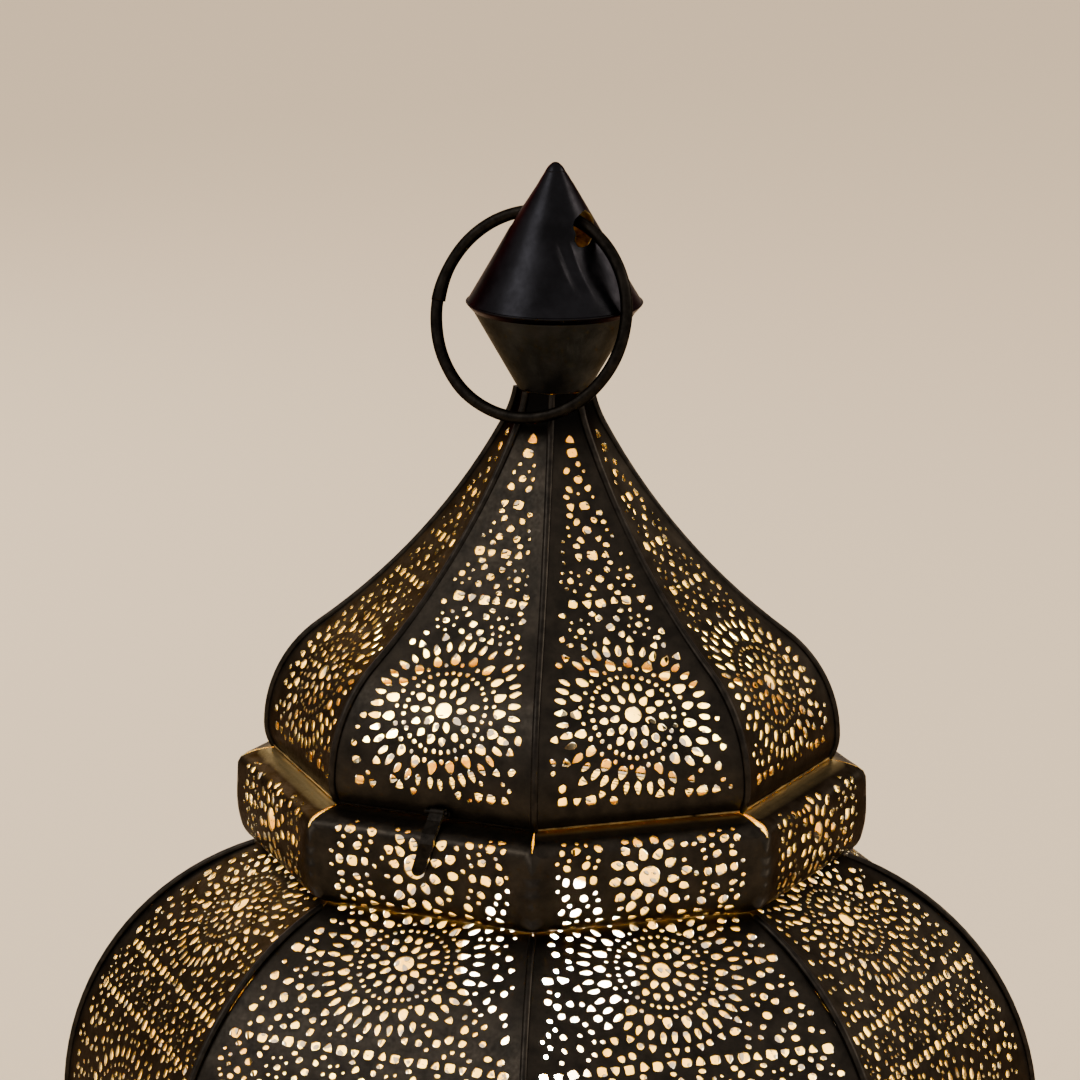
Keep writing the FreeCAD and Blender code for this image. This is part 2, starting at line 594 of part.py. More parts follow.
subpart(cut("hinge_leaf_collar",
            fuse("hinge_leaf_collar", strap_body,
                 knuckle("collar_knuckle_right", side_start, d("hinge_knuckle")),
                 knuckle("collar_knuckle_left", f"-({side_start} + {d('hinge_knuckle')})", d("hinge_knuckle"))),
            hinge_bore("collar_knuckle_bore"),
            cross_cylinder("dome_knuckle_room", f"{d('hinge_barrel_radius')} + 0.15", f"-({side_start})",
                           d("hinge_axis_y"), d("hinge_axis_z"), f"2 * ({side_start})", "x")),
        "hinge_leaf_collar")

pin_half = f"({side_start} + {d('hinge_knuckle')} + {d('hinge_slack')})"
subpart(fuse("hinge_pin",
             cross_cylinder("pin_shank", d("hinge_pin_radius"), f"-{pin_half}", d("hinge_axis_y"),
                            d("hinge_axis_z"), f"2 * {pin_half}", "x"),
             cross_cylinder("pin_head_right", d("hinge_head_radius"), pin_half, d("hinge_axis_y"),
                            d("hinge_axis_z"), d("hinge_head_length"), "x"),
             cross_cylinder("pin_head_left", d("hinge_head_radius"), f"-{pin_half} - {d('hinge_head_length')}",
                            d("hinge_axis_y"), d("hinge_axis_z"), d("hinge_head_length"), "x")), "hinge_pin")


# ---------------------------------------------------------------- latch, at the front

staple_bar = cross_cylinder("staple_bar", d("latch_bar_radius"), f"{d('latch_x')} - {d('latch_bar_half')}",
                            f"-{d('latch_bar_y')}", d("latch_bar_z"), f"2 * {d('latch_bar_half')}", "x")
legs = [
    cross_cylinder(f"staple_leg_{name}", d("latch_bar_radius"), x, f"-{d('latch_bar_y')}", d("latch_bar_z"),
                   d("latch_leg_length"), "y")
    for name, x in (("left", f"{d('latch_x')} - {d('latch_bar_half')}"),
                    ("right", f"{d('latch_x')} + {d('latch_bar_half')}"))
]
subpart(fuse("latch_staple", staple_bar, *legs), "latch_staple")

# The tongue, seen from the side as (distance in front of the axis, z): outer side down, inner side up.
TONGUE = [(89.6, 300.3), (90.7, 298.8), (92.3, 297.1), (94.7, 295.5), (97.2, 294.0), (98.8, 291.0), (99.1, 286.0)]
tongue_body = doc.addObject("PartDesign::Body", "tongue")
tongue_sketch = sketch_on(tongue_body, "YZ_Plane", "tongue_outline")
tip = dim("latch_tip_z")
outline = [Vector(-y, z, 0) for y, z in TONGUE] + [Vector(-99.1, tip, 0), Vector(-98.1, tip, 0)]
outline += [Vector(-y, z, 0) for y, z in [(98.1, 286.0), (97.8, 290.7), (96.5, 293.1), (94.2, 294.5),
                                          (91.6, 296.3), (89.3, 298.2)]]
for one, two in zip(outline, outline[1:] + outline[:1]):
    tongue_sketch.addGeometry(Part.LineSegment(one, two), False)
tongue_pad = tongue_body.newObject("PartDesign::Pad", "tongue_pad")
tongue_pad.Profile = tongue_sketch
tongue_pad.Midplane = True
bind(tongue_pad, Length=d("latch_width"))
tongue_body.Tip = tongue_pad
tongue_body.setExpression(".Placement.Base.x", d("latch_x"))
tongue_end = cross_cylinder("tongue_end", f"{d('latch_width')} / 2", d("latch_x"), "-99.1", d("latch_tip_z"), "1",
                            "y")
latch_barrel = cross_cylinder("latch_barrel", d("latch_barrel_radius"), f"{d('latch_x')} - {d('latch_width')} / 2",
                              f"-{d('latch_bar_y')}", d("latch_bar_z"), d("latch_width"), "x")
latch_bore = cross_cylinder("latch_bore", d("latch_bore_radius"), "-10", f"-{d('latch_bar_y')}",
                            d("latch_bar_z"), "20", "x")
subpart(cut("latch_hook", fuse("latch_hook", tongue_body, tongue_end, latch_barrel), latch_bore), "latch_hook")


# ---------------------------------------------------------------- lamp

subpart(cut("lamp_tube",
            cylinder("tube_outer", d("tube_radius"), d("tube_z"), d("tube_length")),
            cylinder("tube_hollow", d("tube_bore"), f"{d('tube_z')} - 1", f"{d('tube_length')} + 2")), "lamp_tube")

plate_top = f"{d('plate_z')} + {d('plate_wall')}"


def pair(label, maker, low, high):
    """The same fastener below and above the floor plate, as one node of two solids."""
    group = doc.addObject("Part::Compound", label)
    group.Links = [maker(f"{label}_low", low), maker(f"{label}_high", high)]
    return subpart(group, label)


def nut(name, z):
    blank = prism(f"{name}_blank", f"{d('nut_radius')} * cos(30 deg)", z, d("nut_height"), 6)
    thread = cylinder(f"{name}_thread", f"{d('tube_radius')} + {d('thread_slack')}", f"{z} - 1",
                      f"{d('nut_height')} + 2")
    return cut(name, blank, thread)


def washer(name, z):
    blank = cylinder(f"{name}_blank", d("washer_radius"), z, d("washer_wall"))
    hole = cylinder(f"{name}_hole", f"{d('tube_radius')} + 0.2", f"{z} - 1", f"{d('washer_wall')} + 2")
    return cut(name, blank, hole)


pair("tube_washers", washer, f"{d('plate_z')} - {d('washer_wall')}", plate_top)
pair("tube_nuts", nut, f"{d('plate_z')} - {d('washer_wall')} - {d('nut_height')}",
     f"{plate_top} + {d('washer_wall')}")

holder_top = f"{d('cap_z')} + {d('cap_height')}"
tube_hole = f"{d('tube_radius')} + {d('thread_slack')}"
revolved("holder_cap", [
    (tube_hole, d("cap_z")), (d("cap_neck_radius"), d("cap_z")), (d("cap_neck_radius"), f"{d('cap_z')} + 4"),
    (d("holder_radius"), f"{holder_top} - 2"), (d("holder_radius"), holder_top),
    (f"{d('holder_radius')} - 2", holder_top), (f"{d('cap_neck_radius')} - 1", f"{d('cap_z')} + 6"),
    (tube_hole, f"{d('cap_z')} + 6"),
])
shell_top = f"{d('holder_z')} + {d('holder_height')}"
shell_inner = f"{d('holder_radius')} - {d('holder_wall')}"
revolved("holder_shell", [
    (shell_inner, d("holder_z")), (d("holder_radius"), d("holder_z")),
    (d("holder_radius"), f"{shell_top} - 8"), (f"{d('holder_radius')} + 1.5", f"{shell_top} - 7"),
    (f"{d('holder_radius')} + 1.5", f"{shell_top} - 2"), (d("holder_radius"), shell_top), (shell_inner, shell_top),
])
insert_top = f"{d('insert_z')} + {d('insert_height')}"
revolved("holder_insert", [
    ("2", d("insert_z")), (d("insert_radius"), d("insert_z")), (d("insert_radius"), insert_top),
    (d("insert_bore"), insert_top), (d("insert_bore"), f"{d('insert_z')} + {d('insert_floor')}"),
    ("2", f"{d('insert_z')} + {d('insert_floor')}"),
])
cap_top = f"{d('bulb_cap_z')} + {d('bulb_cap_height')}"
revolved("bulb_cap", [
    ("0", d("bulb_cap_z")), ("4", d("bulb_cap_z")), ("5", f"{d('bulb_cap_z')} + 2"),
    (d("bulb_cap_radius"), f"{d('bulb_cap_z')} + 5"), (d("bulb_cap_radius"), cap_top), ("0", cap_top),
])


def bulb_outline(inset):
    """(radius, z) of the bulb's envelope as a throat, a tangent shoulder and a round globe, moved in by inset."""
    globe = dim("bulb_radius") - inset
    centre = Vector(0, dim("bulb_centre_z"), 0)
    throat = Vector(dim("bulb_throat_radius") - inset, dim("bulb_throat_z"), 0)
    shoulder = math.radians(-38)
    join = centre + Vector(math.cos(shoulder), math.sin(shoulder), 0) * globe
    mid = Vector((throat.x + join.x) / 2 - 2.2, (throat.y + join.y) / 2, 0)
    return throat, mid, join, centre + Vector(globe, 0, 0), centre + Vector(0, globe, 0)


def bulb_solid():
    """The glass envelope: the outer outline joined to the inner one at the throat, turned about the axis."""
    upright = Rotation(Vector(1, 0, 0), 90)
    edges = []
    ends = []
    for inset in (0.0, dim("bulb_wall")):
        throat, mid, join, side, top = (upright.multVec(p) for p in bulb_outline(inset))
        edges += [Part.Arc(throat, mid, join).toShape(), Part.Arc(join, side, top).toShape()]
        ends.append((throat, top))
    edges += [Part.makeLine(ends[0][k], ends[1][k]) for k in (0, 1)]
    wire = Part.Wire(Part.__sortEdges__(edges))
    return Part.Face(wire).revolve(Vector(), Vector(0, 0, 1), 360)


envelope = doc.addObject("Part::Feature", "bulb_glass")
envelope.Shape = bulb_solid()
subpart(envelope, "bulb_glass")

stem_z = f"{cap_top} + 0.2"
stem_end = f"{cap_top} + {d('stem_height')}"
revolved("bulb_stem", [
    ("0", stem_z), (f"{d('stem_radius')} * 2", stem_z), (d("stem_radius"), f"{cap_top} + 8"),
    (f"{d('stem_radius')} / 2", stem_end), ("0", stem_end),
])

filaments = doc.addObject("Part::Compound", "bulb_filaments")
rods = []
for number in range(4):
    rod = cylinder(f"filament_{number + 1}", d("filament_radius"), d("filament_z"), d("filament_length"))
    quarter = f"{90 * number + 45} deg"
    rod.setExpression(".Placement.Base.x", f"{d('filament_circle')} * cos({quarter})")
    rod.setExpression(".Placement.Base.y", f"{d('filament_circle')} * sin({quarter})")
    rods.append(rod)
filaments.Links = rods
subpart(filaments, "bulb_filaments")


# ---------------------------------------------------------------- cable inlet

# Drawn upright about Z, from its outer flange's face, then laid along +Y through the plinth's back.
neck = f"{d('inlet_hole_radius')} - {d('inlet_slack')}"
groove_low = f"-({d('inlet_flange')} + {d('plinth_wall')} + {d('inlet_slack')})"
groove_high = f"-{d('inlet_flange')} + {d('inlet_slack')}"
far_side = f"-(2 * {d('inlet_flange')} + {d('plinth_wall')})"
grommet = revolved("cable_grommet", [
    (d("inlet_bore"), far_side), (d("inlet_flange_radius"), far_side), (d("inlet_flange_radius"), groove_low),
    (neck, groove_low), (neck, groove_high), (d("inlet_flange_radius"), groove_high),
    (d("inlet_flange_radius"), "0"), (d("inlet_bore"), "0"),
])
grommet.Placement = Placement(Vector(0, dim("plinth_flat") + dim("inlet_flange"), dim("inlet_z")),
                              Rotation(Vector(1, 0, 0), -90))


# ---------------------------------------------------------------- write the pieces

doc.recompute()
failed = [o.Name for o in doc.Objects if "Invalid" in o.State or "Error" in o.State]
if failed:
    raise RuntimeError(f"these objects failed: {failed}")

os.makedirs("parts", exist_ok=True)
for piece in SUBPARTS:
    shape = piece.Shape
    if shape.isNull() or not shape.isValid() or not shape.Solids:
        raise RuntimeError(f"{piece.Label} is not a valid solid")
    shape.exportStep(f"parts/{piece.Label}.step")
print(f"{len(SUBPARTS)} pieces")
print("ring pivot through", tuple(round(v, 3) for v in pivot), "along", tuple(round(v, 5) for v in pivot_axis))
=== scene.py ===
"""Looks for the pierced octagonal lantern: pierced panels, bent tin finial, ring, lamp, light, camera."""

import math
import random

import bpy
import numpy as np
from mathutils import Matrix, Vector, noise
from mathutils.geometry import delaunay_2d_cdt


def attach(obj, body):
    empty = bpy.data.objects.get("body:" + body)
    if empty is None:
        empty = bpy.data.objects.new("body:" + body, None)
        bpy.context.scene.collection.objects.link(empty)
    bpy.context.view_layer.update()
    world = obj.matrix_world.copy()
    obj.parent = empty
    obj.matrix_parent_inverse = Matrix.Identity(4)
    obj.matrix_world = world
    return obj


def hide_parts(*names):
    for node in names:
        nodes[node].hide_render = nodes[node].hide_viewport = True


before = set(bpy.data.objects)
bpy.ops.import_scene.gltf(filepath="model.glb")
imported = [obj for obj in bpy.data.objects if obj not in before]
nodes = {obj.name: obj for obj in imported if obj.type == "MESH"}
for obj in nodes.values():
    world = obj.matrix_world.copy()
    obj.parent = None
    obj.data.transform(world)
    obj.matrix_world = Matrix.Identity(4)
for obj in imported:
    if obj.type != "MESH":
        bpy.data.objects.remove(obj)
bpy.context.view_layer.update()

MM = 0.001
FACES = 8
HALF_FACE = math.radians(22.5)  # half the turn from one face to the next
TAN_HALF = math.tan(HALF_FACE)
SHEET = 0.6  # mm, the pierced sheet with its burrs
SEAM = 0.8  # mm, from a panel's edge to the corner's plane, where the seam wire lies


def ease(x):
    """One number taken from 0 to 1 without corners."""
    x = min(max(x, 0.0), 1.0)
    return x * x * (3 - 2 * x)


def smooth(x):
    """The same for an array."""
    x = np.clip(x, 0.0, 1.0)
    return x * x * (3 - 2 * x)


def add_object(name, data):
    obj = bpy.data.objects.new(name, data)
    bpy.context.scene.collection.objects.link(obj)
    return obj


# ---------------------------------------------------------------- outlines, in mm


class Profile:
    """Tangent arcs through (flat radius, height) points from the bottom up, upright at points[belly]."""

    def __init__(self, points, belly):
        points = [Vector(p) for p in points]
        arcs = [None] * (len(points) - 1)
        heading = Vector((0, 1))
        for i in range(belly, len(points) - 1):
            arcs[i], heading = self._arc(points[i], heading, points[i + 1])
        heading = Vector((0, -1))
        for i in range(belly, 0, -1):
            (centre, radius, start, sweep), heading = self._arc(points[i], heading, points[i - 1])
            arcs[i - 1] = (centre, radius, start + sweep, -sweep)
        self.arcs = arcs
        self.ends = np.cumsum([0.0] + [abs(radius * sweep) for _, radius, _, sweep in arcs])
        self.length = float(self.ends[-1])

    @staticmethod
    def _arc(start, heading, end):
        chord = end - start
        normal = Vector((-heading.y, heading.x))
        signed = chord.dot(chord) / (2 * normal.dot(chord))
        centre = start + normal * signed
        along = chord.normalized()
        after = along * (2 * heading.dot(along)) - heading
        turn = 2 * math.atan2(heading.x * along.y - heading.y * along.x, heading.dot(along))
        first = start - centre
        return (centre, abs(signed), math.atan2(first.y, first.x), turn), after

    def at(self, s):
        """Flat radius, height and the outward normal's two parts, as arrays, at distances s from below."""
        s = np.clip(np.asarray(s, float), 0, self.length)
        which = np.clip(np.searchsorted(self.ends, s, side="right") - 1, 0, len(self.arcs) - 1)
        out = np.zeros((4,) + s.shape)
        for i, (centre, radius, start, sweep) in enumerate(self.arcs):
            here = which == i
            angle = start + sweep * (s[here] - self.ends[i]) / (self.ends[i + 1] - self.ends[i])
            side = 1.0 if sweep > 0 else -1.0
            out[0][here] = centre.x + radius * np.cos(angle)
            out[1][here] = centre.y + radius * np.sin(angle)
            out[2][here] = side * np.cos(angle)
            out[3][here] = side * np.sin(angle)
        return out

    def s_at_height(self, z):
        s = np.linspace(0, self.length, 2000)
        return float(s[np.argmin(np.abs(self.at(s)[1] - z))])


DOME = Profile([(85.7, 296.4), (87.9, 304.4), (71.5, 339.4), (15.1, 409.4), (11.3, 421.2)], 1)
COLLAR = Profile(
    [(90.0, 264.0), (96.2, 268.6), (97.8, 279.5), (97.2, 290.3), (94.8, 293.5), (83.2, 296.0)], 2)
BODY = Profile([(74.0, 51.0), (151.5, 172.0), (86.5, 264.5)], 1)


# ---------------------------------------------------------------- hand-cut holes


def hole(u, s, long, wide, turn, shape, rng):
    """One chiselled hole as a loop of (u, s) points, anticlockwise. long and wide are half sizes."""
    count = {"dot": 7, "oval": 9, "petal": 10, "square": 12, "triangle": 9, "round": 18}[shape]
    rough = 0.015 if shape == "round" else 0.055  # how far its edge strays, as a part of its size
    turn += rng.gauss(0, 0.08)
    cos_turn, sin_turn = math.cos(turn), math.sin(turn)
    loop = []
    for i in range(count):
        angle = 2 * math.pi * (i + rng.uniform(-0.12, 0.12)) / count
        x, y = math.cos(angle), math.sin(angle)
        if shape == "square":
            x, y = (math.copysign(abs(v) ** 0.62, v) for v in (x, y))
        elif shape == "triangle":
            swell = 1.0 + 0.24 * math.cos(3 * angle)
            x, y = x * swell, y * swell
        elif shape == "petal":
            y *= 1.0 - 0.28 * x
        wobble = 1.0 + rng.gauss(0, rough)
        x, y = x * long * wobble, y * wide * wobble
        loop.append((u + x * cos_turn - y * sin_turn, s + x * sin_turn + y * cos_turn))
    return loop


class Piercing:
    """Collects holes that keep clear of the panel's edges and of each other. Lengths are in mm."""

    CELL = 4.0  # the grid in which neighbours are looked up
    END = 0.6  # the bare strip at the panel's ends
    JITTER = 0.16  # how far a hole strays from its place

    def __init__(self, rng, half_width, length, low, high, margin):
        self.rng = rng
        self.half_width = half_width
        self.length = length
        self.low, self.high = low, high
        self.margin = margin
        self.loops = []
        self.grid = {}

    def cell(self, u, s):
        return int(u // self.CELL), int(s // self.CELL)

    def mark(self, u, s):
        self.grid.setdefault(self.cell(u, s), []).append((u, s))

    def open_to_edges(self):
        """From now on free() answers for the points between the holes, which go nearer to the edges."""
        self.margin = 1.0
        self.low, self.high = self.END, self.length - self.END

    def free(self, u, s, reach, gap):
        if s - reach < self.low or s + reach > self.high:
            return False
        if abs(u) + reach > self.half_width(s) - self.margin:
            return False
        ring = int(math.ceil((reach + gap) / self.CELL))
        column, row = self.cell(u, s)
        for i in range(column - ring, column + ring + 1):
            for j in range(row - ring, row + ring + 1):
                for pu, ps in self.grid.get((i, j), ()):
                    if (pu - u) ** 2 + (ps - s) ** 2 < (reach + gap) ** 2:
                        return False
        return True

    def add(self, u, s, long, wide=None, turn=0.0, shape="oval", gap=0.42):
        rng = self.rng
        wide = long if wide is None else wide
        u += rng.gauss(0, self.JITTER)
        s += rng.gauss(0, self.JITTER)
        scale = rng.uniform(0.9, 1.1)
        long, wide = long * scale, wide * scale * rng.uniform(0.93, 1.07)
        # an oblong hole is tested as three discs along its length
        step = max(long - wide, 0.0)
        for k in (-1, 0, 1) if step > 0.2 else (0,):
            disc_u, disc_s = u + k * step * math.cos(turn), s + k * step * math.sin(turn)
            if not self.free(disc_u, disc_s, wide * 1.04, gap):
                return False
        loop = hole(u, s, long, wide, turn, shape, rng)
        self.loops.append(loop)
        for pu, ps in loop + [(u, s)]:
            self.mark(pu, ps)
        return True

    def ring(self, u, s, radius, count, long, wide, shape, phase=0.0):
        """Holes pointing away from (u, s), evenly round it."""
        for i in range(count):
            angle = 2 * math.pi * (i + phase) / count
            self.add(u + radius * math.cos(angle), s + radius * math.sin(angle), long, wide, angle, shape)

    def rosette(self, u, s, size=1.0, rings=6):
        """The large flower: a round hole in rings of petals, dots, broad petals, long petals and drops."""
        phase = self.rng.random()
        self.add(u, s, 2.9 * size, shape="round", gap=0.6)
        self.ring(u, s, 6.3 * size, round(10 * size), 1.75, 1.12, "petal", phase)
        self.ring(u, s, 10.3 * size, round(15 * size), 1.55, 1.15, "petal", phase + 0.5)
        self.ring(u, s, 14.0 * size, round(34 * size), 0.82, 0.72, "dot", phase)
        self.ring(u, s, 19.4 * size, round(19 * size), 2.15, 1.5, "petal", phase)
        self.ring(u, s, 17.2 * size, round(19 * size), 0.78, 0.7, "dot", phase + 0.5)
        self.ring(u, s, 24.3 * size, round(38 * size), 2.1, 1.02, "petal", phase)
        if rings > 5:
            self.ring(u, s, 28.4 * size, round(22 * size), 1.3, 1.15, "triangle", phase + 0.5)
        if rings > 6:
            self.ring(u, s, 32.6 * size, round(56 * size), 0.85, 0.75, "dot", phase)
            self.ring(u, s, 37.2 * size, round(42 * size), 2.2, 1.35, "petal", phase + 0.5)
            self.ring(u, s, 41.8 * size, round(40 * size), 1.15, 0.95, "oval", phase)

    def band(self, s, pitch=4.75, offset=0.0):
        """A row of squares and triangles by turns."""
        reach = self.half_width(s) - self.margin
        count = int(reach // pitch)
        for i in range(-count - 1, count + 2):
            u = i * pitch + offset
            if i % 2 == 0:
                self.add(u, s, 1.75, 1.6, self.rng.gauss(0, 0.12), "square")
            else:
                self.add(u, s, 1.4, 1.35, math.pi / 2 * (1 if i % 4 == 1 else -1), "triangle")

    def flowers(self, s, pitch=10.1, offset=0.0):
        """A row of two small flowers by turns: an eye with four ovals, and an eye ringed with dots."""
        reach = self.half_width(s) - self.margin
        count = int(reach // pitch) + 1
        for i in range(-count, count + 1):
            u = i * pitch + offset
            if i % 2 == 0:
                self.add(u, s, 1.5, 1.35, 0, "oval")
                for k in range(4):
                    angle = math.pi / 4 + k * math.pi / 2
                    petal_u, petal_s = u + 4.5 * math.cos(angle), s + 4.5 * math.sin(angle)
                    self.add(petal_u, petal_s, 1.25, 0.95, angle + math.pi / 2, "petal")
            else:
                self.add(u, s, 1.2, 1.1, 0, "oval")
                for k in range(7):
                    angle = 2 * math.pi * (k + 0.5) / 7
                    self.add(u + 3.5 * math.cos(angle), s + 3.5 * math.sin(angle), 0.62, 0.57, 0, "dot")
            for side in (-1, 1):
                self.add(u + pitch / 2, s + side * 5.6, 1.15, 0.85, 0, "oval")

    def scatter(self, low, high, tries, sizes, gap):
        """Filling holes where the pattern leaves room."""
        rng = self.rng
        for _ in range(tries):
            s = rng.uniform(low, high)
            reach = self.half_width(s) - self.margin
            size = rng.choice(sizes)
            shape = "dot" if size < 0.9 else rng.choice(("oval", "petal"))
            u = rng.uniform(-reach, reach)
            long = size * rng.uniform(1.0, 1.35)
            self.add(u, s, long, size, rng.uniform(0, math.pi), shape, gap)


# the patterns: heights are in mm above the floor, everything else in mm over the sheet


def dome_holes(rng, half_width):
    p = Piercing(rng, half_width, DOME.length, 7.2, DOME.length - 8.0, 4.0)
    middle = DOME.s_at_height(330.5)
    p.rosette(0, middle)
    p.band(DOME.s_at_height(305.6), 4.75, 2.0)
    for height in (360.3, 373.3, 387.6):
        p.band(DOME.s_at_height(height), 4.7, rng.uniform(-1.5, 1.5))
    for height in (353.6, 366.7, 380.4, 395.0):
        p.flowers(DOME.s_at_height(height), 10.0, rng.uniform(-1.5, 1.5))
    p.add(0, DOME.s_at_height(402.7), 1.7, 1.5, 0, "square")
    p.add(0, DOME.s_at_height(406.8), 1.5, 1.4, math.pi / 2, "triangle")
    p.scatter(7, middle + 26, 900, (1.25, 1.0, 0.75), 1.25)
    p.scatter(middle + 26, DOME.length - 12, 500, (0.85, 0.6), 1.35)
    return p


# dots round a collar panel's outer flowers, out from the flower and up or down from it
COLLAR_DOTS = ((3.6, 7.6), (-2.7, 8.3), (0.4, 13.6), (-5.2, 4.2), (7.7, 6.9), (-6.4, 6.9), (7.6, 2.4))


def collar_holes(rng, half_width, with_latch_hole):
    middle = COLLAR.s_at_height(281.5)
    p = Piercing(rng, half_width, COLLAR.length, 2.2, middle + 14.6, 7.2)
    eye_u, eye_s, eye_radius = (-1.2, middle + 0.7, 4.2) if with_latch_hole else (0.0, middle, 3.7)
    p.add(eye_u, eye_s, eye_radius, shape="round", gap=0.5)
    phase = rng.random()
    p.ring(eye_u, eye_s, 7.7, 9, 2.0, 1.45, "petal", phase)
    p.ring(0, middle, 12.3, 14, 1.95, 1.5, "petal", phase + 0.5)
    for side in (-1, 1):
        u = side * 24.0
        p.add(u, middle, 1.9, 1.75, rng.gauss(0, 0.1), "square")
        for k in (-1, 1):
            p.add(u + k * 4.7, middle + rng.gauss(0, 0.3), 1.55, 1.3, math.pi / 2, "oval")
            p.add(u - side * 1.6, middle + k * 5.4, 1.55, 1.25, 0.5 * k, "oval")
            p.add(u + side * 4.4, middle + k * 4.9, 1.3, 1.0, -0.5 * k, "oval")
            p.add(u + side * 1.2, middle + k * 10.4, 1.75, 1.45, 0.6, "oval")
            p.add(u - side * 6.5, middle + k * 10.6, 1.7, 1.4, -0.6, "oval")
            p.add(u + side * 5.8, middle + k * 10.2, 1.3, 1.0, 1.2, "oval")
            for du, ds in COLLAR_DOTS:
                p.add(u + side * du, middle + k * ds, 0.8, 0.7, 0, "dot")
    for k in (-1, 1):
        for i in range(-6, 7):
            p.add(i * 5.6, middle + k * 14.0, 1.5, 0.9, 0, "triangle")
    p.scatter(2, middle + 15, 260, (1.1, 0.75), 1.0)
    return p


def body_holes(rng, half_width):
    p = Piercing(rng, half_width, BODY.length, 7.0, BODY.length - 1.5, 4.1)
    middle = BODY.s_at_height(253.4)
    p.rosette(0, middle, 1.04)
    for side in (-1, 1):
        for k in range(3):
            p.add(side * (33.5 + 4.7 * k), middle, 1.7, 1.6, 0, "triangle" if k % 2 == 0 else "square")
    below = middle - 34.0
    p.band(below, 4.8)
    p.flowers(below - 8.8, 10.2)
    p.band(below - 17.6, 4.8)
    belly = BODY.s_at_height(168.0)
    p.rosette(0, belly, 1.0, 7)
    for side in (-1, 1):
        p.flowers(belly + side * 51.5, 10.2, 5.1)
    p.band(belly - 60.0, 4.8)
    p.rosette(0, belly - 91.0, 0.86)
    p.band(12.0, 4.8)
    p.scatter(7, BODY.length - 2, 7000, (1.35, 1.1, 0.8), 1.15)
    return p


# ---------------------------------------------------------------- panels


INSIDE, ZONE, HOLE_WALLS = 1, 2, 3  # places in a sheet's materials


def build_sheet(name, outline, piercing, place, materials, step=3.2, thickness=SHEET, zone=None, glow_and_darkening=None):
    """A thin sheet with real holes, triangulated flat as (u, s) and bent into space by place(u, s).

    materials are for the outside, the inside, the part of the outside where zone(u, s) is true, the holes'
    walls and, where there is a fifth, the sheet's own edges. glow_and_darkening(s) is stored on each point
    for the
    materials to read: it places the painted glow of light on the collar's shoulder and the darkening of the
    dome's neck. step is how far apart the points between the holes lie."""
    points, faces = [], []
    for loop in [outline] + piercing.loops:
        faces.append(list(range(len(points), len(points) + len(loop))))
        points += loop
    piercing.open_to_edges()
    for j in range(int(piercing.high / step) + 1):
        s = (j + 0.5) * step
        reach = piercing.half_width(min(s, piercing.high))
        for i in range(-int(reach / step) - 1, int(reach / step) + 2):
            u = (i + 0.5 * (j % 2)) * step
            if piercing.free(u, s, 0.1, min(1.0, 0.3 * step)):
                points.append((u, s))

    flat, _, triangles, origin, _, owners = delaunay_2d_cdt(
        [Vector(p) for p in points], [], faces, 0, 1e-6, True)
    # what only the outline encloses is metal
    kept = np.array([t for t, owner in zip(triangles, owners) if list(owner) == [0]], int)
    flat = np.array([tuple(v) for v in flat], float)
    index_of = {old: new for new, olds in enumerate(origin) for old in olds}

    u, s = flat[:, 0], flat[:, 1]
    outer = place(u, s)
    along_u = place(u + 0.05, s) - place(u - 0.05, s)
    along_s = place(u, s + 0.05) - place(u, s - 0.05)
    # known fault: a collar's point past its corner's plane has no width, so no normal, and its inner
    # twin has no position
    normal = np.cross(along_u, along_s)
    normal /= np.linalg.norm(normal, axis=1)[:, None]
    along_u /= np.linalg.norm(along_u, axis=1)[:, None]
    along_s = np.cross(normal, along_u)
    count = len(flat)
    vertices = np.concatenate([outer, outer - normal * thickness]) * MM

    walls, wall_normals, wall_index = [], [], []
    for number, face in enumerate(faces):
        ring = [index_of[i] for i in face]
        loop = flat[ring]
        tangent = np.roll(loop, -1, 0) - np.roll(loop, 1, 0)
        out = np.stack([-tangent[:, 1], tangent[:, 0]], 1) * (1 if number else -1)
        out /= np.linalg.norm(out, axis=1)[:, None] + 1e-12
        slope = along_u[ring] * out[:, :1] + along_s[ring] * out[:, 1:]
        for i, a in enumerate(ring):
            j = (i + 1) % len(ring)
            b = ring[j]
            walls.append((a, b, b + count, a + count) if number else (b, a, a + count, b + count))
            wall_index.append(HOLE_WALLS if number else len(materials) - 1)
            first, second = slope[i], slope[j]
            wall_normals += [first, second, second, first] if number else [second, first, first, second]

    polygons = [tuple(t) for t in kept] + [(c + count, b + count, a + count) for a, b, c in kept] + walls
    mesh = bpy.data.meshes.new(name)
    mesh.from_pydata(vertices.tolist(), [], polygons)
    outside_normals = normal[kept].reshape(-1, 3)
    inside_normals = -normal[kept[:, ::-1]].reshape(-1, 3)
    loop_normals = np.concatenate([outside_normals, inside_normals, np.array(wall_normals)])
    index = np.zeros(len(polygons), np.int32)
    index[len(kept):] = INSIDE
    index[2 * len(kept):] = wall_index
    if zone is not None:
        index[:len(kept)][zone(u[kept].mean(1), s[kept].mean(1))] = ZONE
    mesh.polygons.foreach_set("material_index", index)
    mesh.polygons.foreach_set("use_smooth", np.ones(len(polygons), bool))
    if glow_and_darkening is not None:
        shade = mesh.attributes.new("glow_and_darkening", "FLOAT", "POINT")
        shade.data.foreach_set("value", np.tile(glow_and_darkening(s), 2).astype(np.float32))
    mesh.update()
    mesh.normals_split_custom_set(loop_normals.tolist())
    for material in materials:
        mesh.materials.append(material)
    return add_object(name, mesh)


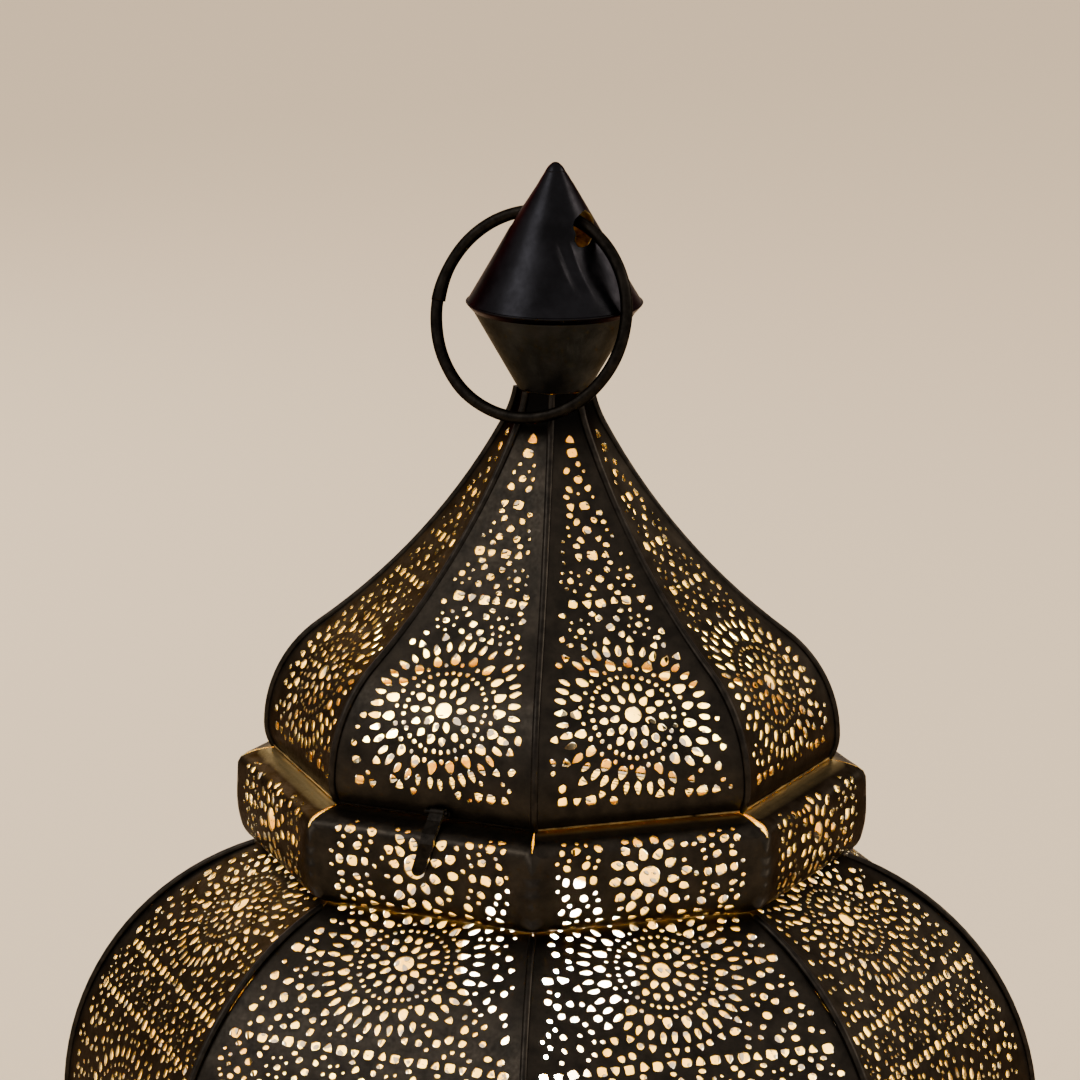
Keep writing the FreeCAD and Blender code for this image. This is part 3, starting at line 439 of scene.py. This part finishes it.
def build_panel(name, profile, turn, piercing, slits, dents, bend, **looks):
    """One face of a storey. slits are the gaps left and right of it; bend(u, s) is its corners' radius."""
    length = profile.length
    cos_turn, sin_turn = math.cos(turn), math.sin(turn)

    def mitre(s, side):
        return float(profile.at([s])[0][0]) * TAN_HALF - slits[side](s)

    rows = max(int(length / 2.0), 8)  # a point about every 2 mm up the sides
    side = [length * i / rows for i in range(rows + 1)]
    outline = [(mitre(0, 1) * (i / 6 - 1), 0.0) for i in range(1, 12)]
    outline = [(-mitre(0, 0), 0.0)] + outline + [(mitre(s, 1), s) for s in side]
    outline += [(mitre(length, 1) * (1 - i / 3), length) for i in range(1, 6)]
    outline += [(-mitre(s, 0), s) for s in reversed(side[1:])]

    def place(u, s):
        f, z, nf, nz = profile.at(s)
        radius = bend(u, s)
        start = f * TAN_HALF - radius * TAN_HALF
        angle = np.clip((np.abs(u) - start) / np.maximum(radius * TAN_HALF, 1e-6), 0, 1) * HALF_FACE
        across = np.where(angle > 0, np.sign(u) * (start + radius * np.sin(angle)), u)
        inward = dents(u, s)
        x, height = f - nf * inward - radius * (1 - np.cos(angle)), z - nz * inward
        return np.stack([x * cos_turn - across * sin_turn, x * sin_turn + across * cos_turn, height], 1)

    return build_sheet(name, outline, piercing, place, **looks)


# ---------------------------------------------------------------- materials


DARK_EDGE = (0.47, 0.44, 0.42, 1)  # the blackened sheet's glancing shine


def principled(name, color, metallic, roughness, **sockets):
    material = bpy.data.materials.new(name)
    material.use_nodes = True
    shader = material.node_tree.nodes["Principled BSDF"]
    shader.inputs["Base Color"].default_value = (*color, 1.0)
    shader.inputs["Metallic"].default_value = metallic
    shader.inputs["Roughness"].default_value = roughness
    for key, value in sockets.items():
        shader.inputs[key.replace("_", " ")].default_value = value
    return material, shader


def textured(name, dark, light, metallic, rough, scale, bump, glow_and_dark_color=None, **sockets):
    """A metal or enamel whose colour and roughness drift over the surface, with fine unevenness.

    scale is how fine the drift is and bump how strong its relief. glow_and_dark_color is the colour laid
    where the mesh's glow_and_darkening is 1: a painted glow of light on the collar's shoulder, a darkening on
    the dome's neck."""
    material, shader = principled(name, dark, metallic, rough[0], **sockets)
    tree = material.node_tree
    link = tree.links.new
    place = tree.nodes.new("ShaderNodeTexCoord")
    cloud = tree.nodes.new("ShaderNodeTexNoise")
    cloud.inputs["Scale"].default_value = scale
    cloud.inputs["Detail"].default_value = 6.0
    cloud.inputs["Roughness"].default_value = 0.62
    link(place.outputs["Object"], cloud.inputs["Vector"])
    tint = tree.nodes.new("ShaderNodeValToRGB")
    tint.color_ramp.elements[0].position, tint.color_ramp.elements[1].position = 0.36, 0.68
    tint.color_ramp.elements[0].color = (*dark, 1)
    tint.color_ramp.elements[1].color = (*light, 1)
    link(cloud.outputs["Fac"], tint.inputs["Fac"])
    if glow_and_dark_color is None:
        link(tint.outputs["Color"], shader.inputs["Base Color"])
    else:
        overlay = tree.nodes.new("ShaderNodeAttribute")
        overlay.attribute_name = "glow_and_darkening"
        blend = tree.nodes.new("ShaderNodeMix")
        blend.data_type = "RGBA"
        blend.inputs["B"].default_value = (*glow_and_dark_color, 1)
        link(overlay.outputs["Fac"], blend.inputs["Factor"])
        link(tint.outputs["Color"], blend.inputs["A"])
        link(blend.outputs["Result"], shader.inputs["Base Color"])
    fine = tree.nodes.new("ShaderNodeTexNoise")
    fine.inputs["Scale"].default_value = scale * 6
    fine.inputs["Detail"].default_value = 4.0
    link(place.outputs["Object"], fine.inputs["Vector"])
    spread = tree.nodes.new("ShaderNodeMapRange")
    spread.inputs["From Min"].default_value, spread.inputs["From Max"].default_value = 0.3, 0.7
    spread.inputs["To Min"].default_value, spread.inputs["To Max"].default_value = rough
    link(fine.outputs["Fac"], spread.inputs["Value"])
    link(spread.outputs["Result"], shader.inputs["Roughness"])
    relief = tree.nodes.new("ShaderNodeBump")
    relief.inputs["Strength"].default_value = bump
    relief.inputs["Distance"].default_value = 0.0004
    link(cloud.outputs["Fac"], relief.inputs["Height"])
    link(relief.outputs["Normal"], shader.inputs["Normal"])
    return material


DARK_BRONZE, LIGHT_BRONZE = (0.0150, 0.0134, 0.0115), (0.0300, 0.0255, 0.0205)
bronze = textured("dark_bronze_sheet", DARK_BRONZE, LIGHT_BRONZE, 1.0, (0.36, 0.52), 130, 0.25,
                  Specular_Tint=DARK_EDGE)
# the dome's sheet near its top, darkened towards the top
darkened_neck = textured("darkened_neck_sheet", DARK_BRONZE, LIGHT_BRONZE, 1.0, (0.36, 0.52), 130, 0.25,
                 glow_and_dark_color=(0.0035, 0.0033, 0.003), Specular_Tint=DARK_EDGE)
# the collar's slope, with a painted glow of lamplight near the dome's edge
shoulder = textured("collar_shoulder_painted_glow", DARK_BRONZE, LIGHT_BRONZE, 1.0, (0.3, 0.44), 220, 0.3,
                    glow_and_dark_color=(1.0, 0.75, 0.34), Specular_Tint=DARK_EDGE)
solder = textured("blackened_seam", (0.0125, 0.0113, 0.0100), (0.0290, 0.0250, 0.0210),
                  1.0, (0.3, 0.44), 260, 0.45, Specular_Tint=(0.5, 0.49, 0.5, 1))

brass = textured("brass_inside", (0.74, 0.52, 0.09), (0.94, 0.72, 0.18), 0.7, (0.26, 0.42), 110, 0.6)
# the holes' walls, the sheet's cut edges, darkened as painted shade
shaded_cut_edge = textured("shaded_cut_edge", (0.055, 0.045, 0.031), (0.15, 0.123, 0.083), 0.6, (0.4, 0.55), 300, 0.2)
# the sheet's cut edges at the collar's slits, made bright as a painted highlight
highlit_slit_edge = textured("slit_edge_painted_highlight", (0.7, 0.5, 0.2), (0.95, 0.8, 0.45), 1.0, (0.2, 0.32), 300, 0.2)
# dark, with painted glints of light in dashes, for the dome's hem
glinting_hem = textured("dome_hem_painted_glints", (0.016, 0.012, 0.008), (0.9, 0.68, 0.3), 1.0, (0.3, 0.45), 75, 0.2)

enamel = textured("black_finial_enamel", (0.0072, 0.0073, 0.0088), (0.0135, 0.0138, 0.017),
                  1.0, (0.28, 0.38), 90, 0.12, Specular_Tint=(0.46, 0.42, 0.41, 1))
dull_enamel = textured("dull_finial_enamel", (0.0165, 0.0172, 0.018), (0.033, 0.0345, 0.036),
                       1.0, (0.4, 0.55), 110, 0.2, Specular_Tint=(0.5, 0.47, 0.42, 1))
cone_inside = textured("finial_inside", (0.12, 0.08, 0.026), (0.55, 0.38, 0.13), 0.6, (0.35, 0.5), 240, 0.2)
iron = textured("blackened_wire", (0.006, 0.0055, 0.005), (0.015, 0.0133, 0.0115),
                1.0, (0.34, 0.5), 340, 0.5, Specular_Tint=(0.42, 0.4, 0.38, 1))
# the latch tongue's side edges, with painted glints of light
latch_glints = textured("latch_edge_painted_glints", (0.012, 0.0105, 0.009), (0.95, 0.8, 0.5), 1.0, (0.25, 0.4), 170, 0.2)

steel = textured("zinc_steel", (0.42, 0.41, 0.38), (0.6, 0.58, 0.54), 1.0, (0.3, 0.45), 400, 0.2)
bakelite = textured("black_bakelite", (0.012, 0.012, 0.012), (0.02, 0.019, 0.018), 0.0, (0.3, 0.4), 200, 0.1)
porcelain = textured("white_porcelain", (0.76, 0.73, 0.66), (0.84, 0.82, 0.77), 0.0, (0.15, 0.25), 120, 0.05)
rubber = textured("black_rubber", (0.014, 0.014, 0.014), (0.03, 0.03, 0.029), 0.0, (0.6, 0.75), 500, 0.3)
cap_metal = textured("lamp_cap_metal", (0.6, 0.58, 0.52), (0.75, 0.73, 0.68), 1.0, (0.25, 0.35), 300, 0.1)
glass, _ = principled("lit_lamp_glass", (1.0, 0.93, 0.8), 0.0, 0.08, Alpha=0.12,
                      Emission_Color=(1.0, 0.88, 0.6, 1.0), Emission_Strength=2.6)
stem_glow, _ = principled("lit_stem", (1.0, 0.9, 0.75), 0.0, 0.3,
                          Emission_Color=(1.0, 0.9, 0.62, 1.0), Emission_Strength=140.0)
glow, _ = principled("filament_light", (1.0, 0.9, 0.7), 0.0, 0.4,
                     Emission_Color=(1.0, 0.89, 0.6, 1.0), Emission_Strength=3500.0)


def dress(names, material):
    for name in names:
        mesh = nodes[name].data
        mesh.materials.clear()
        mesh.materials.append(material)
        mesh.polygons.foreach_set("material_index", np.zeros(len(mesh.polygons), np.int32))


# ---------------------------------------------------------------- the pierced storeys


def seamed(profile):
    """Half the panel's width at s, to the seam wire."""
    table_s = np.linspace(0, profile.length, 400)
    table_w = profile.at(table_s)[0] * TAN_HALF - SEAM
    return lambda s: float(np.interp(s, table_s, table_w))


DENT_LENGTH, DENT_FADE = 24.0, 9.0  # mm, how long the dents are and how near the edges they fade


def uneven(seed, size, length, half_width):
    """Hand-worked waviness of the sheet, dying away towards its edges and only ever inwards."""
    shift = Vector((seed * 7.3, seed * 3.1, 0))

    def dents(u, s):
        edge = np.array([ease(min(b, length - b, half_width(b) - abs(a)) / DENT_FADE) for a, b in zip(u, s)])
        wave = np.array([noise.noise(Vector((a, b, 0)) / DENT_LENGTH + shift) for a, b in zip(u, s)])
        return size * edge * (0.5 - 0.5 * wave)

    return dents


SHOULDER = float(COLLAR.ends[-3])  # where the collar's upright side starts to turn over
# the collar's corners, by the face on the corner's left
OPEN_CORNERS = {1: 0.42, 2: 1.6, 3: 0.6, 6: 0.35, 7: 1.3, 8: 0.9}  # mm, half the slit; the others have 0.4
TIGHT_CORNERS = {3: 0.3, 7: 0.3}  # their bend, as a part of the others' bend
CORNER_BEND = 14.0  # mm, the radius of the bend
SHARP = 0.01  # mm, the bend of a soldered corner
# how strongly each face's slope is painted with the glow of lamplight leaking from under the dome's edge; the
# others have 0.8
GLOW_SLOPES = {1: 0.08, 2: 0.4, 3: 1.0}
NECK = DOME.length - 30  # where the dome's sheet starts to be darkened towards its top


def seam_gap(profile):
    """The gap under the seam wire closes near the storey's ends, where the wire stops."""

    def gap(s):
        return -0.03 + (SEAM + 0.03) * min(ease((s - 1.0) / 4), ease((profile.length - 2.0 - s) / 6))

    return gap


def collar_slit(face):
    """The corner right of a face is shut below the shoulder and gapes over it."""
    corner = (face - 1) % FACES + 1
    size, start = OPEN_CORNERS.get(corner, 0.4), SHOULDER + (3.2 if corner == 1 else 1.0)

    def slit(s):
        up = (s - start) / (COLLAR.length - start)
        return -0.05 + (size + 0.05) * ease(up / 0.12) * (1 - 0.75 * ease(up / 1.1))

    return slit


def collar_bend(face):
    """The strip is bent round its corners below the slits, tightly at two of them."""
    left, right = (TIGHT_CORNERS.get((corner - 1) % FACES + 1, 1.0) for corner in (face - 1, face))

    def bend(u, s):
        round_below = (1 - smooth((s - SHOULDER + 7) / 9)) * (0.35 + 0.65 * smooth(s / 8))
        return SHARP + CORNER_BEND * round_below * np.where(u < 0, left, right)

    return bend


def sharp_bend(u, s):
    return np.full(np.shape(s), SHARP)


STOREYS = (
    ("dome_gore", DOME, dome_holes, "lid"),
    ("collar_panel", COLLAR, collar_holes, "lantern"),
    ("body_gore", BODY, body_holes, "lantern"),
)


# the slope nearest the dome's edge is painted with a glow of lamplight leaking from under the dome, strongest
# at the top edge and fading over about 8 mm, by a different amount on each face
def collar_looks(face):
    overlay = GLOW_SLOPES.get(face, 0.8)
    return {"materials": (bronze, brass, shoulder, shaded_cut_edge, highlit_slit_edge),
            "zone": lambda u, s: s > SHOULDER + 1.0,
            "glow_and_darkening": lambda s: overlay * smooth((s - COLLAR.length + 8.2) / 7.8)}


# the dome's sheet is darkened towards its top, from NECK up, with a graded edge
def dome_looks():
    return {"materials": (bronze, brass, darkened_neck, shaded_cut_edge),
            "zone": lambda u, s: s > NECK,
            "glow_and_darkening": lambda s: smooth((s - NECK - 4) / 18)}


for face in range(1, FACES + 1):
    for kind, profile, holes, body in STOREYS:
        rng = random.Random(f"{kind}{face}")
        half_width = seamed(profile)
        node = f"{kind}_{face}"
        slits, bend, dent_size = (seam_gap(profile),) * 2, sharp_bend, 0.5
        if kind == "collar_panel":
            piercing = holes(rng, half_width, face == 1)
            slits, bend, dent_size = (collar_slit(face - 1), collar_slit(face)), collar_bend(face), 0.3
            looks = collar_looks(face)
        else:
            piercing = holes(rng, half_width)
            looks = dome_looks() if kind == "dome_gore" else {"materials": (bronze, brass, bronze, shaded_cut_edge)}
        dents = uneven(face + 10 * len(kind), dent_size, profile.length, half_width)
        turn = math.radians(-90 + 45 * (face - 1))
        panel = build_panel(f"pierced_{node}", profile, turn, piercing, slits, dents, bend, **looks)
        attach(panel, body)
        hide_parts(node)
        print(node, len(piercing.loops), "holes", len(panel.data.polygons), "faces")


# ---------------------------------------------------------------- finial and ring, bent by hand

CONE_FOOT, CONE_TOP = Vector((29.0, 449.6)), Vector((2.2, 493.2))  # radius, height
CONE_SLANT = (CONE_TOP - CONE_FOOT).length
CONE_FRONT = math.radians(20)  # the way the cone's sheet faces, so that its lap is at the back


def cone_radius(s):
    return CONE_FOOT.x + (CONE_TOP.x - CONE_FOOT.x) * s / CONE_SLANT


def cone_dents(angle, s):
    """Inward: a crumpled hollow under the ring's right hole, and a crease beside it down to the rim."""
    radius = cone_radius(s)
    hollow = 2.6 * np.exp(-(((angle - 1.22) * radius / 7.5) ** 2) - ((s - 20) / 11.0) ** 2)
    line = 0.66 + 0.0125 * (27 - s)
    away = (angle - line) * radius
    crease = 1.15 * smooth((30 - s) / 5) * smooth((s - 3) / 14) * np.exp(-(((away + 1.6) / 1.9) ** 2))
    ridge = -0.3 * smooth((30 - s) / 4) * smooth((s - 4) / 10) * np.exp(-(((away - 1.1) / 1.1) ** 2))
    bruise = 0.7 * np.exp(-(((angle - 0.62) * radius / 2.6) ** 2) - ((s - 31) / 4.0) ** 2)
    wave = np.array([noise.noise(Vector((math.cos(a) * 1.6, math.sin(a) * 1.6, b / 16)))
                     for a, b in zip(angle, s)])
    fade = smooth(s / 5) * smooth((CONE_SLANT - s) / 6)
    return fade * (hollow + crease + ridge + bruise + 0.22 * wave) - 1.1 * smooth(s / 35)


def cone_place(u, s):
    s = np.clip(s, 0, CONE_SLANT)
    radius = cone_radius(s)
    angle = u / radius + CONE_FRONT
    lean = (CONE_TOP - CONE_FOOT).normalized()
    inward = cone_dents(angle, s)
    r = radius - lean.y * inward
    z = CONE_FOOT.y + lean.y * s + lean.x * inward
    return np.stack([r * np.sin(angle), -r * np.cos(angle), z], 1)


def cone_half_width(s):
    return math.pi * cone_radius(min(max(s, 0), CONE_SLANT))


# the ring's two holes: angle, distance up the slant, half width, half height, how torn
RING_HOLES = ((1.33, 31.0, 5.3, 5.7, 0.09), (1.534 - math.pi, 34.0, 4.9, 5.6, 0.03))
rng = random.Random("finial")
cone_piercing = Piercing(rng, cone_half_width, CONE_SLANT, 0, CONE_SLANT, 0)
for angle, s, wide, tall, torn in RING_HOLES:
    radius = cone_radius(s)
    middle = (angle - CONE_FRONT) * radius
    loop = []
    for i in range(40):
        a = 2 * math.pi * i / 40
        wobble = 1 + torn * (math.sin(3 * a + 0.7) + 0.6 * math.sin(5 * a)) + rng.gauss(0, torn / 5)
        loop.append((middle + wide * wobble * math.cos(a), s + tall * wobble * math.sin(a)))
    cone_piercing.loops.append(loop)
    for pu, ps in loop:
        cone_piercing.mark(pu, ps)
    # no points of the sheet inside the hole
    for i in range(-4, 5):
        for j in range(-4, 5):
            cone_piercing.mark(middle + wide * i / 5, s + tall * j / 5)
cone_outline = [(math.pi * CONE_FOOT.x * (i / 40 - 1), 0.0) for i in range(80)]
cone_outline += [(math.pi * cone_radius(CONE_SLANT * i / 40), CONE_SLANT * i / 40) for i in range(41)]
cone_outline += [(math.pi * CONE_TOP.x * (1 - i / 4), CONE_SLANT) for i in range(1, 8)]
cone_outline += [(-math.pi * cone_radius(CONE_SLANT * i / 40), CONE_SLANT * i / 40) for i in range(40, 0, -1)]
upper_cone = build_sheet("bent_upper_cone", cone_outline, cone_piercing, cone_place,
                         (enamel, cone_inside, enamel, cone_inside), step=1.5, thickness=0.5)


def lathe(name, section, material, segments=96):
    """A closed (radius, height) section turned about the lantern's axis."""
    mesh = bpy.data.meshes.new(name)
    points, polygons = [], []
    count = len(section)
    for k in range(segments):
        a = 2 * math.pi * k / segments
        points += [(r * math.cos(a) * MM, r * math.sin(a) * MM, z * MM) for r, z in section]
        n = (k + 1) % segments
        polygons += [(k * count + i, n * count + i, n * count + (i + 1) % count, k * count + (i + 1) % count)
                     for i in range(count)]
    mesh.from_pydata(points, [], polygons)
    mesh.polygons.foreach_set("use_smooth", np.ones(len(polygons), bool))
    mesh.materials.append(material)
    return add_object(name, mesh)


TIP = [(0.001, 493.2), (2.9, 493.2), (3.27, 493.42), (3.11, 493.8), (2.82, 494.3), (2.35, 494.95),
       (1.75, 495.55), (1.05, 496.1), (0.5, 496.32), (0.001, 496.38)]
RIM = [(29.0, 449.55), (29.2, 449.9), (28.7, 450.25), (28.5, 449.7), (27.0, 447.75), (27.25, 447.55)]
tip = lathe("cone_tip", TIP, enamel, 32)
hem = lathe("rim_hem", RIM, enamel)
for obj in (upper_cone, tip, hem):
    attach(obj, "lid")
    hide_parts("finial_upper_cone")

RING_LEAN = math.radians(17.2)  # it hangs forwards against the cone
RING_RADIUS = 34.2
RING_SPAN, RING_SHIFT = 11.7, 4.0  # half the width between its two holes, and how far it hangs to the left
RING_AXIS_HEIGHT = 477.4
ring_down = Vector((0, -math.sin(RING_LEAN), -math.cos(RING_LEAN)))
ring_drop = sum(math.sqrt(RING_RADIUS ** 2 - (side * RING_SPAN + RING_SHIFT) ** 2) for side in (-1, 1)) / 2
ring_middle = Vector((-RING_SHIFT, 0, RING_AXIS_HEIGHT)) + ring_down * ring_drop
ring_face = Vector((1, 0, 0)).cross(-ring_down)
RING_JOINT = math.radians(178)  # where the wire's two ends are lapped
RING_STEPS, WIRE_SIDES = 260, 18


def ring_wire(k):
    """One section of the hammered wire; it is stouter at one end, and the ends meet off line."""
    turn = k / RING_STEPS
    a = RING_JOINT - 2 * math.pi * turn * 1.002
    first, last = 1 - ease(turn / 0.06), 1 - ease((1 - turn) / 0.05)
    wobble = noise.noise(Vector((math.cos(a) * 2.2, math.sin(a) * 2.2, 4.0)))
    wire = 2.02 + 0.10 * wobble + 0.34 * first - 0.06 * last
    radius = RING_RADIUS + 0.12 * wobble - 0.10 * first + 0.14 * last
    out = Vector((math.cos(a), 0, 0)) - ring_down * math.sin(a)
    return [ring_middle + out * (radius + wire * math.cos(b)) + ring_face * (wire * 0.97 * math.sin(b))
            for b in (2 * math.pi * i / WIRE_SIDES for i in range(WIRE_SIDES))]


def ring_quad(k, i):
    here, there = k * WIRE_SIDES, (k + 1) * WIRE_SIDES
    after = (i + 1) % WIRE_SIDES
    return here + after, here + i, there + i, there + after


ring_points = [p * MM for k in range(RING_STEPS + 1) for p in ring_wire(k)]
ring_quads = [ring_quad(k, i) for k in range(RING_STEPS) for i in range(WIRE_SIDES)]
last_ring = RING_STEPS * WIRE_SIDES
ring_ends = [tuple(range(WIRE_SIDES)), tuple(reversed(range(last_ring, last_ring + WIRE_SIDES)))]
ring_mesh = bpy.data.meshes.new("hammered_ring")
ring_mesh.from_pydata(ring_points, [], ring_quads + ring_ends)
ring_mesh.polygons.foreach_set("use_smooth", [True] * len(ring_quads) + [False, False])
ring_mesh.materials.append(iron)
ring = add_object("hammered_ring", ring_mesh)
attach(ring, "ring")
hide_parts("ring_handle")


# ---------------------------------------------------------------- the dome's edge and the latch

# the dome's bottom edge, folded over: painted with dashes of glinting light in places, left black over the
# latch
HEM_SECTION = [(85.75, 296.42), (86.3, 296.38), (86.38, 296.95), (85.95, 297.0)]  # flat radius, height
HEM_SIDES = len(HEM_SECTION)
LATCH_SIDE = 5  # which of the hem's eight sides is over the latch
hem_mesh = bpy.data.meshes.new("dome_hem")
hem_points, hem_quads = [], []
for k in range(FACES):
    a = math.radians(22.5 + 45 * k)
    for r, z in HEM_SECTION:
        corner = r / math.cos(math.pi / FACES)
        hem_points.append((corner * math.cos(a) * MM, corner * math.sin(a) * MM, z * MM))
    here, there = k * HEM_SIDES, (k + 1) % FACES * HEM_SIDES
    hem_quads += [(here + i, there + i, there + (i + 1) % HEM_SIDES, here + (i + 1) % HEM_SIDES)
                  for i in range(HEM_SIDES)]
hem_mesh.from_pydata(hem_points, [], hem_quads)
hem_mesh.materials.append(glinting_hem)
hem_mesh.materials.append(solder)
for polygon in hem_mesh.polygons[LATCH_SIDE * HEM_SIDES:(LATCH_SIDE + 1) * HEM_SIDES]:
    polygon.material_index = 1
dome_hem = add_object("dome_hem", hem_mesh)
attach(dome_hem, "lid")

# the latch tongue hangs a little askew, its side edges painted with glints of light in places
LATCH_HEIGHTS, LATCH_SHIFTS = (280.0, 291.5, 297.0), (-2.2, 1.4, 0.5)  # mm, to the side at each height
tongue_mesh = nodes["latch_hook"].data.copy()
tongue_mesh.name = "askew_tongue"
tongue_mesh.transform(nodes["latch_hook"].matrix_world)
for vertex in tongue_mesh.vertices:
    vertex.co.x += float(np.interp(vertex.co.z / MM, LATCH_HEIGHTS, LATCH_SHIFTS)) * MM
tongue_mesh.update()
tongue_mesh.materials.clear()
tongue_mesh.materials.append(iron)
tongue_mesh.materials.append(latch_glints)
for polygon in tongue_mesh.polygons:
    polygon.material_index = int(abs(polygon.normal.x) > 0.8)  # the edges face sideways
tongue = add_object("askew_tongue", tongue_mesh)
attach(tongue, "latch")
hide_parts("latch_hook")


# ---------------------------------------------------------------- the pieces that keep their CAD shape

dress(["dome_ribs", "body_ribs"], solder)
dress(["dome_base_band", "collar_spigot", "neck_sleeve"], brass)
dress([f"foot_panel_{k}" for k in range(1, 9)] + ["plinth_band", "waist_band"], bronze)
dress(["base_plate"], brass)
dress(["finial_lower_cone"], dull_enamel)
dress(["latch_staple", "hinge_leaf_dome", "hinge_leaf_collar", "hinge_pin"], iron)
dress(["lamp_tube", "tube_nuts", "tube_washers"], steel)
dress(["holder_cap", "holder_shell"], bakelite)
dress(["holder_insert"], porcelain)
dress(["cable_grommet"], rubber)
dress(["bulb_cap"], cap_metal)
dress(["bulb_glass"], glass)
dress(["bulb_stem"], stem_glow)
dress(["bulb_filaments"], glow)


# ---------------------------------------------------------------- floor, light and camera

bpy.ops.mesh.primitive_plane_add(size=24, location=(0, 0, 0))
floor = bpy.context.object
floor.name = "floor"
floor_paint, _ = principled("pale_floor", (0.93, 0.765, 0.55), 0.0, 0.9)
floor.data.materials.append(floor_paint)

world = bpy.data.worlds.new("studio")
bpy.context.scene.world = world
world.use_nodes = True
world.node_tree.nodes["Background"].inputs["Color"].default_value = (1.0, 0.885, 0.775, 1.0)
world.node_tree.nodes["Background"].inputs["Strength"].default_value = 1.0


def softbox(name, place, aim, size, power, color):
    light = bpy.data.lights.new(name, "AREA")
    light.shape, light.size, light.energy, light.color = "SQUARE", size, power, color
    obj = add_object(name, light)
    obj.location = place
    obj.rotation_euler = (Vector(aim) - Vector(place)).to_track_quat("-Z", "Y").to_euler()


softbox("key", (-1.4, -1.6, 2.4), (0, 0, 0.25), 1.4, 26, (1.0, 0.95, 0.88))
softbox("rim_right", (1.7, 1.3, 1.5), (0, 0, 0.3), 0.9, 24, (1.0, 0.88, 0.72))
softbox("rim_left", (-1.7, 1.2, 1.2), (0, 0, 0.3), 0.9, 14, (1.0, 0.94, 0.86))

AZIMUTH, PITCH, ROLL = math.radians(25.8), math.radians(14.06), math.radians(0.4)
DISTANCE, EYE_HEIGHT, SIDE_STEP = 2.0, 0.870, -0.0042  # m
LENS = 207.46666  # mm, on a frame 36 mm wide
camera_data = bpy.data.cameras.new("camera")
camera_data.sensor_width = 36.0
camera_data.lens = LENS
camera_data.clip_end = 60
camera = add_object("camera", camera_data)
right = Vector((math.cos(AZIMUTH), math.sin(AZIMUTH), 0))
away = Vector((-math.sin(AZIMUTH), math.cos(AZIMUTH), 0))
camera.location = -away * DISTANCE + right * SIDE_STEP + Vector((0, 0, EYE_HEIGHT))
turned = Matrix.Rotation(AZIMUTH, 3, "Z")
tilted = Matrix.Rotation(math.pi / 2 - PITCH, 3, "X")
rolled = Matrix.Rotation(ROLL, 3, "Z")
camera.rotation_euler = (turned @ tilted @ rolled).to_euler()
bpy.context.scene.camera = camera
